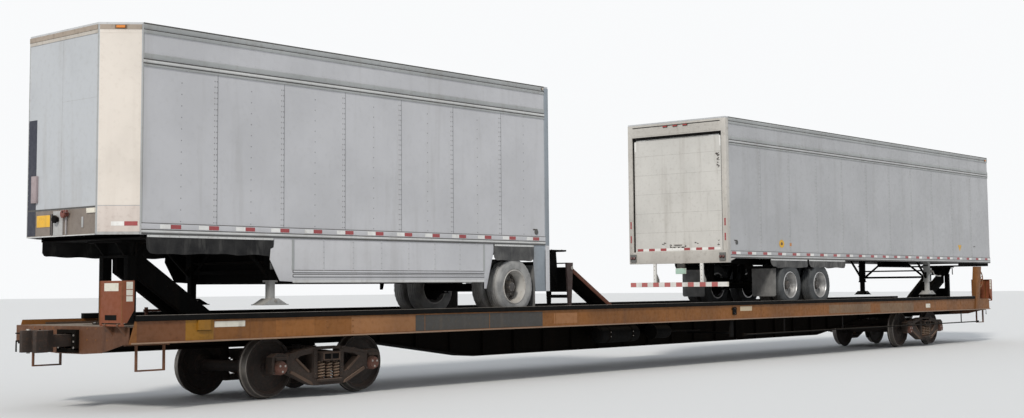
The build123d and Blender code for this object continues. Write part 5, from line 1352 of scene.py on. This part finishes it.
def flaps(name, sheets, look_of, mud_x, mud_low, mud_high, rail_low):
    """The hanging sheets of one trailer, and the mud flaps behind its wheels with their brackets."""
    piece = Shape(name + "_hanging")
    for side in (-1, 1):
        for k, (x0, x1, z0, z1) in enumerate(sheets):
            wavy_sheet(
                piece, (x0, x1), (z0, z1), side * (HALF - 0.003), side, look_of[k], seed=7 * k + side + 3)
            heads = [
                (x, side * (HALF - 0.002), z1 - 0.018) for x in seam_places((x0 + 0.04, x1 - 0.04), 0.15)]
            piece.box(
                (x0 + 0.01, x1 - 0.01), span(side, HALF - 0.004, HALF + 0.001), (z1 - 0.032, z1 - 0.004),
                "moulding")
            piece.rivets(heads, (0, side, 0), 0.008, 0.005, "bolt")
        piece.prism([
            (side * 0.600, mud_high), (side * 1.180, mud_high), (side * 1.180, mud_low + 0.03),
            (side * 1.150, mud_low), (side * 0.630, mud_low),
            (side * 0.600, mud_low + 0.03)], "yz", (mud_x, mud_x + 0.010), "mud")
        for y in (0.70, 0.80, 0.90, 1.0, 1.08):
            piece.box(
                (mud_x - 0.004, mud_x + 0.014), span(side, y - 0.006, y + 0.006),
                (mud_low + 0.04, mud_high - 0.06), "mud")
        piece.box(
            (mud_x - 0.015, mud_x + 0.010), span(side, 0.440, 1.180), (mud_high, mud_high + 0.060), "chassis")
        piece.box(
            (mud_x - 0.015, mud_x + 0.010), span(side, 0.440, 0.520), (mud_high + 0.06, rail_low), "chassis")
        for x, out in ((mud_x + 0.010, 1), (mud_x, -1)):
            heads = [(x, side * y, mud_high - 0.02) for y in (0.64, 0.80, 0.98, 1.14)]
            piece.rivets(heads, (out, 0, 0), 0.010, 0.008, "bolt")
    piece.finish((name,), smooth=50)


SHORT_RAIL = RAIL + 2.080
LONG_RAIL = RAIL + 1.990
flaps(
    "short_trailer_flaps", (SHORT_APRON, SHORT_ARCH), ("flap", "flap_worn"), SHORT_AXLE + 0.540, DECK + 0.050,
    SHORT_RAIL - 0.190, SHORT_RAIL)
flaps(
    "long_trailer_flaps", LONG_APRONS, ("flap_worn", "flap_worn"), LONG_AXLES[0] - 0.590, LONG_RAIL - 0.700,
    LONG_RAIL - 0.110, LONG_RAIL)


# Rear ends of the trailers

def scuffs(piece, door_x, out, floor):
    """Small ragged flakes on a door: a streak low in the middle and marks by the upper latch corner."""
    rand = random.Random(5)
    for y, z, wide, tall, count in (
            (-0.02, floor + 0.078, 0.40, 0.035, 26), (0.44, floor + 0.150, 0.10, 0.02, 4),
            (-0.36, floor + 0.150, 0.09, 0.02, 4), (1.00, floor + 1.880, 0.04, 0.20, 18),
            (0.98, floor + 0.160, 0.02, 0.05, 4)):
        for k in range(count):
            cy = out * (y + rand.uniform(-wide, wide) * 0.5)
            cz = z + rand.uniform(-tall, tall) + (k % 3) * 0.012
            size = rand.uniform(0.010, 0.028)
            reaches = [size * rand.uniform(0.5, 1.2) for _ in range(6)]
            outline = [(cy + r * 1.5 * a, cz + r * 0.7 * b) for r, (a, b) in zip(reaches, circle(6, 1.0))]
            piece.prism(outline, "yz", (door_x, door_x + out * 0.0012), "flake")


def rear_end(name, rear, out, low, floor, posts, door_x):
    """Door panels, seals, tape, lamps and the latch of one rear door."""
    top = WALL_TOP - 0.260

    def beyond(low, high):
        """How far out of the door's face something lies."""
        return door_x + out * low, door_x + out * high

    piece = Shape(f"{name}_trailer_rear_details")
    door = Shape(f"{name}_trailer_door_panels")
    step = (top - floor) / 6
    for number in range(6):
        z0, z1 = floor + number * step, floor + (number + 1) * step - 0.004
        door.box(beyond(0.0, -0.030), DOOR, (z0, z1), "door")
        if number:
            door.box(beyond(-0.001, -0.030), DOOR, (z0 - 0.005, z0 + 0.001), "joint")
        for y in (-0.98, -0.49, 0.0, 0.49, 0.98):
            door.rivets([(door_x, y, z0 + 0.025), (door_x, y, z1 - 0.025)], (out, 0, 0), 0.008, 0.002, "door")
    door.finish((f"{name}_trailer_rear_door",))
    # Edge seals of the door and the shadow gap over it
    for side in (-1, 1):
        piece.box(beyond(0.001, 0.018), span(side, 1.085, 1.110), (floor, top), "black")
    piece.box(beyond(0.001, 0.030), DOOR, (top - 0.055, top), "black")
    # Header panel with its recess, a dark strip under the roof edge as painted shadow, and the frame's rivets
    piece.box((rear, rear + out * 0.003), (-1.05, 1.05), (top + 0.03, WALL_TOP - 0.075), posts)
    piece.box((rear, rear + out * 0.004), (-1.09, 1.09), (WALL_TOP - 0.060, WALL_TOP - 0.040), "panel_dark")
    heads = [(rear, side * 1.165, floor + 0.1 + 0.15 * i) for i in range(16) for side in (-1, 1)]
    piece.rivets(heads, (out, 0, 0), 0.008, 0.004, posts)
    # Tape on the bottom panel and two marks on each post
    for i in range(14):
        y = -1.02 + i * 0.147
        colour = "tape_red" if i % 2 and i != 7 else "tape_white"
        piece.box(beyond(0.0, 0.002), (y, y + 0.145), (floor + 0.018, floor + 0.070), colour)
    for side in (-1, 1):
        for z in (floor + 0.20, floor + 0.50):
            piece.box((rear, rear + out * 0.002), span(side, 1.150, 1.185), (z, z + 0.15), "tape_red")
        # Tail light boxes at the corners of the sill
        piece.box(
            (rear, rear + out * 0.035), span(side, 1.035, 1.175), (low + 0.045, low + 0.205), "tail_box")
        for y in (1.070, 1.140):
            lamp(piece, (rear + out * 0.035, side * y, low + 0.125), (out, 0), 0.030, "lamp_tail")
        if name == "long":
            continue
        # Dock bumpers and grab handle, which the photo's rear end hasn't
        piece.box(
            (rear, rear + out * 0.040), span(side, 0.62, 0.86), (low + 0.01, low + 0.08), "rubber_block")
        handle = ((0, 0.95), (0.05, 0.95), (0.05, 1.30), (0, 1.30))
        piece.tube([(rear + out * x, side * 1.135, floor + z) for x, z in handle], 0.010, "bolt")
    # Pale brackets in the top corners of the door, and marks where paint has gone
    for side in (-1, 1):
        for inner, drop in ((0.790, 0.085), (1.040, 0.300)):
            piece.box(beyond(0.0, 0.003), span(side, 1.080, inner), (top - drop, top - 0.056), "tape_white")
    scuffs(piece, door_x, out, floor)
    # Latch plate and pull strap bracket
    piece.box(beyond(0.0, 0.012), (-0.16, 0.16), (floor + 0.095, floor + 0.175), "door")
    strap = ((0.012, -0.10), (0.032, -0.08), (0.032, 0.08), (0.012, 0.10))
    piece.tube([(door_x + out * x, y, floor + 0.135) for x, y in strap], 0.009, "bolt")
    piece.finish(smooth=35)


rear_end("short", SHORT_REAR, 1, *rail(2.140, 2.330), "slate", SHORT_REAR - 0.045)
rear_end("long", LONG_REAR, -1, *rail(1.990, 2.240), "grey_frame", LONG_REAR + 0.045)

bumper = Shape("long_trailer_bumper_details")
for i in range(16):
    y = 1.200 - i * 0.1445
    low = y - 0.143 if i < 15 else -1.200
    bumper.box(
        (LONG_REAR - 0.0015, LONG_REAR + 0.0005), (low, y), rail(1.508, 1.597), "tape_pale" if i % 2 == 0
        else "tape_white")
for side in (-1, 1):
    bumper.box(
        (LONG_REAR - 0.003, LONG_REAR + 0.040), span(side, 0.548, 0.612), rail(1.602, 1.985), "tape_white")
    bumper.box((LONG_REAR - 0.002, LONG_REAR + 0.042), span(side, 1.196, 1.2015), rail(1.506, 1.599), "label")
    bumper.rivets([
        (LONG_REAR - 0.003, side * 0.58, RAIL + z)
        for z in (1.66, 1.74, 1.86, 1.94)], (-1, 0, 0), 0.010, 0.008, "bolt")
bumper.box((LONG_REAR - 0.003, LONG_REAR + 0.0005), (-0.205, 0.050), rail(1.775, 1.885), "mint")
bumper.box((LONG_REAR - 0.010, LONG_REAR + 0.040), (-0.16, 0.01), rail(1.900, 1.985), "panel_dark")
bumper.rivets([
    (LONG_REAR - 0.003, y, RAIL + 1.873) for y in (-0.17, 0.015)], (-1, 0, 0), 0.006, 0.004, "bolt")
bumper.finish()


# Landing gear: crank, gearbox, cross shaft and foot pads

for name, legs, foot, low in ((
        "short", SHORT_LEGS, RAIL + 1.300, RAIL + 2.230), ("long", LONG_LEGS, RAIL + 1.270, RAIL + 2.140)):
    gear = Shape(f"{name}_trailer_landing_gear_details")
    # The far leg's collar and foot pad are black as painted shade; the near leg's are pale
    for side, shade in ((-1, "leg"), (1, "chassis")):
        y = side * 0.900
        gear.box(about(legs, 0.075), about(y, 0.075), (foot + 0.318, foot + 0.345), shade)
        gear.box((legs - 0.105, legs - 0.062), about(y, 0.07), (foot + 0.72, foot + 0.74), "chassis")
        gear.rivets([
            (legs + x, y + side * 0.066, z) for x in (-0.045, 0.045)
            for z in (foot + 0.62, foot + 0.70, low - 0.05)], (0, side, 0), 0.010, 0.008, "bolt")
        gear.lathe((legs, y, foot + 0.055), [(-0.13, 0.022), (0.13, 0.022)], "bolt", steps=16)
        gear.box(about(legs, 0.235), about(y, 0.125), (foot - 0.004, foot + 0.010), shade)
        gear.prism([
            (legs - 0.065, foot + 0.40), (legs - 0.13, foot + 0.46),
            (legs - 0.065, foot + 0.56)], "xz", about(y, 0.025), "chassis")
    # Gearbox and folded crank on the near leg
    gear.box(about(legs, 0.060), (-1.010, -0.960), (foot + 0.50, foot + 0.66), "leg")
    boss = [(-1.010, 0.036), (-1.040, 0.036), (-1.045, 0.028), (-1.075, 0.018), (-1.075, 0.001)]
    gear.lathe((legs, 0, foot + 0.58), boss, "bolt", steps=20)
    crank = ((0, -1.070, 0.58), (0.03, -1.085, 0.50), (0.22, -1.085, 0.46), (0.36, -1.085, 0.46))
    gear.tube([(legs + x, y, foot + z) for x, y, z in crank], 0.011, "leg")
    gear.tube([(legs + x, -1.085, foot + 0.46) for x in (0.30, 0.42)], 0.017, "leg", 10)
    gear.tube([(legs, y, foot + 0.60) for y in (-0.84, 0.84)], 0.018, "chassis", 10)
    gear.finish(smooth=35)


# Details under the trailers: U-bolts and their plates, leaf springs and air chambers

chassis = Shape("trailer_chassis_details")
AIR_CHAMBER = [
    (0.0, 0.001), (0.0, 0.070), (0.02, 0.082), (0.06, 0.086), (0.064, 0.092), (0.076, 0.092), (0.08, 0.086),
    (0.12, 0.080), (0.14, 0.06), (0.14, 0.001),
]
for axle_x in (SHORT_AXLE,) + LONG_AXLES:
    for side in (-1, 1):
        y = side * 0.480
        for x in (-0.10, 0.10):
            for bolt_y in about(y, 0.055):
                chassis.tube([(axle_x + x, bolt_y, TYRE_Z + z) for z in (-0.09, 0.19)], 0.011, "chassis")
            chassis.box(about(axle_x + x, 0.016), about(y, 0.07), (TYRE_Z - 0.10, TYRE_Z - 0.085), "chassis")
        chassis.box(about(axle_x, 0.14), about(y, 0.06), (TYRE_Z + 0.152, TYRE_Z + 0.172), "chassis")
        for k in range(3):
            chassis.box(
                (axle_x - 0.38 + 0.09 * k, axle_x + 0.38 - 0.09 * k), about(y, 0.0385),
                (TYRE_Z + 0.058 - 0.014 * k, TYRE_Z + 0.070 - 0.014 * k), "chassis")
        chassis.lathe((axle_x + 0.16, side * 0.30, TYRE_Z + 0.02), AIR_CHAMBER, "chassis", axis="x", steps=28)
chassis.finish(smooth=40)


# Middle hitch: cover marks, pins and the jaw

mid = Shape("middle_hitch_details", "mid_hitch_post_body")
MID_X, MID_PIVOT = -3.345, DECK + 0.060
for side in (-1, 1):
    for x, z in ((MID_X, MID_PIVOT), (MID_X + 0.060, RAIL + 1.870)):
        pin = [(0.259, 0.034), (0.269, 0.034), (0.272, 0.028), (0.272, 0.001)]
        mid.lathe((x, 0, z), [(side * a, r) for a, r in pin], "bolt", steps=24)
    heads = [(MID_X + 0.035, side * 0.2595, MID_PIVOT + 0.22 + 0.13 * k) for k in range(4)]
    mid.rivets(heads, (0, side, 0), 0.012, 0.008, "purple")
    cover = ((-0.06, 1.60), (0.04, 1.60), (0.05, 1.78), (-0.08, 1.78))
    mid.prism([(MID_X + x, RAIL + z) for x, z in cover], "xz", span(side, 0.259, 0.266), "purple")
head_x = MID_X - 0.345
heads = [(head_x + x, y, RAIL + 2.200) for x in (-0.16, 0.14) for y in (-0.24, 0.24)]
mid.rivets(heads, (0, 0, 1), 0.016, 0.010, "bolt")
mid.ring(
    (head_x, 0, RAIL + 2.1995), [(0.0, 0.030), (0.006, 0.034), (0.006, 0.060), (0.0, 0.062)], "bolt",
    axis="z", steps=36)
mid.finish(smooth=35)


# Hand brake wheel with a round rim, spokes and its gear case; brake rod clevises

wheel = Shape("hand_brake_details")
wx, wz, wy = 13.050, RAIL + 1.650, -1.290
wheel.ring((wx, wy, wz), circle(10, 0.014, 0.0, 0.218), "car")
rim = [(x, wy, z) for x, z in circle(8, 0.21, wx, wz, 0.4)]
for k in range(4):
    wheel.tube([rim[k + 4], rim[k]], 0.009, "car")
wheel.lathe(
    (wx, wy, wz), [(-0.025, 0.001), (-0.025, 0.038), (0.03, 0.045), (0.035, 0.001)], "car_dark", steps=24)
places = ((12.77, 1.00), (12.87, 1.00), (12.82, 1.30), (12.90, 1.30), (12.88, 1.70), (12.96, 1.70))
wheel.rivets([(x, -1.3495, RAIL + z) for x, z in places], (0, -1, 0), 0.012, 0.0005, "car")
for x in (1.0, 12.75):
    wheel.box(about(x, 0.05), (-1.342, -1.308), rail(0.505, 0.555), "car_dark")
wheel.finish(smooth=45)


# Short trailer's belly: sheets with rivets, edge mouldings, and grooves beside its two rails

belly = Shape("short_trailer_belly_details")
BELLY = (-10.850, -6.800, RAIL + 1.600, RAIL + 2.230)
for side in (-1, 1):
    sheet = side * SHEET
    for x in seam_places(BELLY[:2], 0.62):
        wide, proud, look, rows = (0.012, 0.002, "wall_short", (-0.007, 0.007))
        if x in BELLY[:2]:
            wide, proud, look, rows = (0.020, 0.005, "moulding_grey", (0,))
        belly.box(
            about(x, wide), (sheet - side * 0.001, sheet + side * proud), (BELLY[2] + 0.185, BELLY[3]), look)
        heads = [
            (x + d, sheet + side * 0.002, BELLY[2] + 0.215 + RIVET_PITCH * i) for i in range(6) for d in rows]
        belly.rivets(heads, (0, side, 0), 0.006, 0.003, "moulding_grey", sides=5)
    for low, high in ((0.000, 0.010), (0.083, 0.090), (0.120, 0.128), (0.143, 0.150), (0.180, 0.188)):
        belly.box(
            BELLY[:2], (sheet - side * 0.001, sheet + side * 0.0015), (BELLY[2] + low, BELLY[2] + high),
            "moulding_dark")
    belly.box(
        BELLY[:2], (sheet - side * 0.001, sheet + side * 0.002), (BELLY[2] + 0.010, BELLY[2] + 0.045),
        "moulding")
    columns = seam_places((BELLY[0] + 0.05, BELLY[1] - 0.05), WIDE_PITCH)
    heads = [(x, sheet + side * 0.001, z) for z in (BELLY[2] + 0.066, BELLY[3] - 0.030) for x in columns]
    belly.rivets(heads, (0, side, 0), 0.007, 0.003, "wall_short", sides=5)
    # Lower part of the rear post and the skirt behind the wheels, in the colour of the wall
    belly.box(
        (SHORT_REAR - 0.108, SHORT_REAR - 0.004), span(side, 1.2195, 1.2215), rail(1.455, 2.228),
        "wall_short")
    heads = [(SHORT_REAR - 0.055, side * 1.2215, RAIL + 1.50 + 0.10 * i) for i in range(8)]
    belly.rivets(heads, (0, side, 0), 0.007, 0.003, "wall_short", sides=5)
belly.finish()


# Small bare stickers, grommets and marks on the walls

marks = Shape("trailer_wall_marks")
for side in (-1, 1):
    y0, y1 = side * SHEET, side * (SHEET + 0.0042)
    for count, wide, tall, y, look in (
            (24, 0.105, 0.085, y1, "yellow"), (12, 0.045, 0.035, side * (SHEET + 0.0048), "panel_brown")):
        marks.prism([
            (2.77 + wide * a, RAIL + 2.405 + tall * b) for a, b in circle(count, 1.0)], "xz", (y0, y), look)
    marks.box((3.11, 3.19), (y0, y1), rail(2.36, 2.43), "sticker_red")
    marks.prism([(11.92, RAIL + 2.54), (12.13, RAIL + 2.54), (12.025, RAIL + 2.38)], "xz", (y0, y1), "yellow")
    marks.box((12.92, 13.04), (y0, y1), rail(2.50, 2.53), "sticker_pale")
    for x, z in ((0.957, RAIL + 2.40), (SHORT_REAR - 0.342, RAIL + 2.452)):
        grommet = [(0.0, 0.045), (0.010, 0.045), (0.014, 0.034), (0.014, 0.001)]
        marks.lathe((x, y0, z), [(side * a, r) for a, r in grommet], "moulding_dark", steps=20)
        marks.box((x - 0.085, x + 0.030), (y0, side * (SHEET + 0.005)), (z + 0.030, z + 0.052), "panel_dark")
marks.finish()


# Floor, light and world

def make_stage():
    mesh = bpy.data.meshes.new("floor")
    mesh.from_pydata([(-300, -300, 0), (300, -300, 0), (300, 300, 0), (-300, 300, 0)], [], [(0, 1, 2, 3)])
    floor = bpy.data.objects.new("floor", mesh)
    mesh.materials.append(Nodes().finish((0.80, 0.80, 0.79), 0.9))
    bpy.context.scene.collection.objects.link(floor)
    sun_data = bpy.data.lights.new("sun", "SUN")
    sun_data.energy = 2.1
    sun_data.angle = math.radians(9)
    sun_data.color = (1.0, 0.96, 0.90)
    sun = bpy.data.objects.new("sun", sun_data)
    sun.rotation_euler = Vector((0.80, 0.36, -0.62)).to_track_quat("-Z", "Y").to_euler()
    bpy.context.scene.collection.objects.link(sun)
    world = bpy.data.worlds.new("world")
    world.use_nodes = True
    tree = world.node_tree
    background = tree.nodes["Background"]
    background.inputs["Color"].default_value = (0.86, 0.92, 1.0, 1)
    background.inputs["Strength"].default_value = 0.55
    white = tree.nodes.new("ShaderNodeBackground")
    white.inputs["Color"].default_value = (0.95, 0.96, 0.97, 1)
    white.inputs["Strength"].default_value = 1.0
    path = tree.nodes.new("ShaderNodeLightPath")
    blend = tree.nodes.new("ShaderNodeMixShader")
    seen = path.outputs["Is Camera Ray"]
    for ray in ("Is Glossy Ray", "Is Transmission Ray"):
        larger = tree.nodes.new("ShaderNodeMath")
        larger.operation = "MAXIMUM"
        tree.links.new(seen, larger.inputs[0])
        tree.links.new(path.outputs[ray], larger.inputs[1])
        seen = larger.outputs[0]
    tree.links.new(seen, blend.inputs[0])
    tree.links.new(background.outputs[0], blend.inputs[1])
    tree.links.new(white.outputs[0], blend.inputs[2])
    tree.links.new(blend.outputs[0], tree.nodes["World Output"].inputs["Surface"])
    bpy.context.scene.world = world


make_stage()
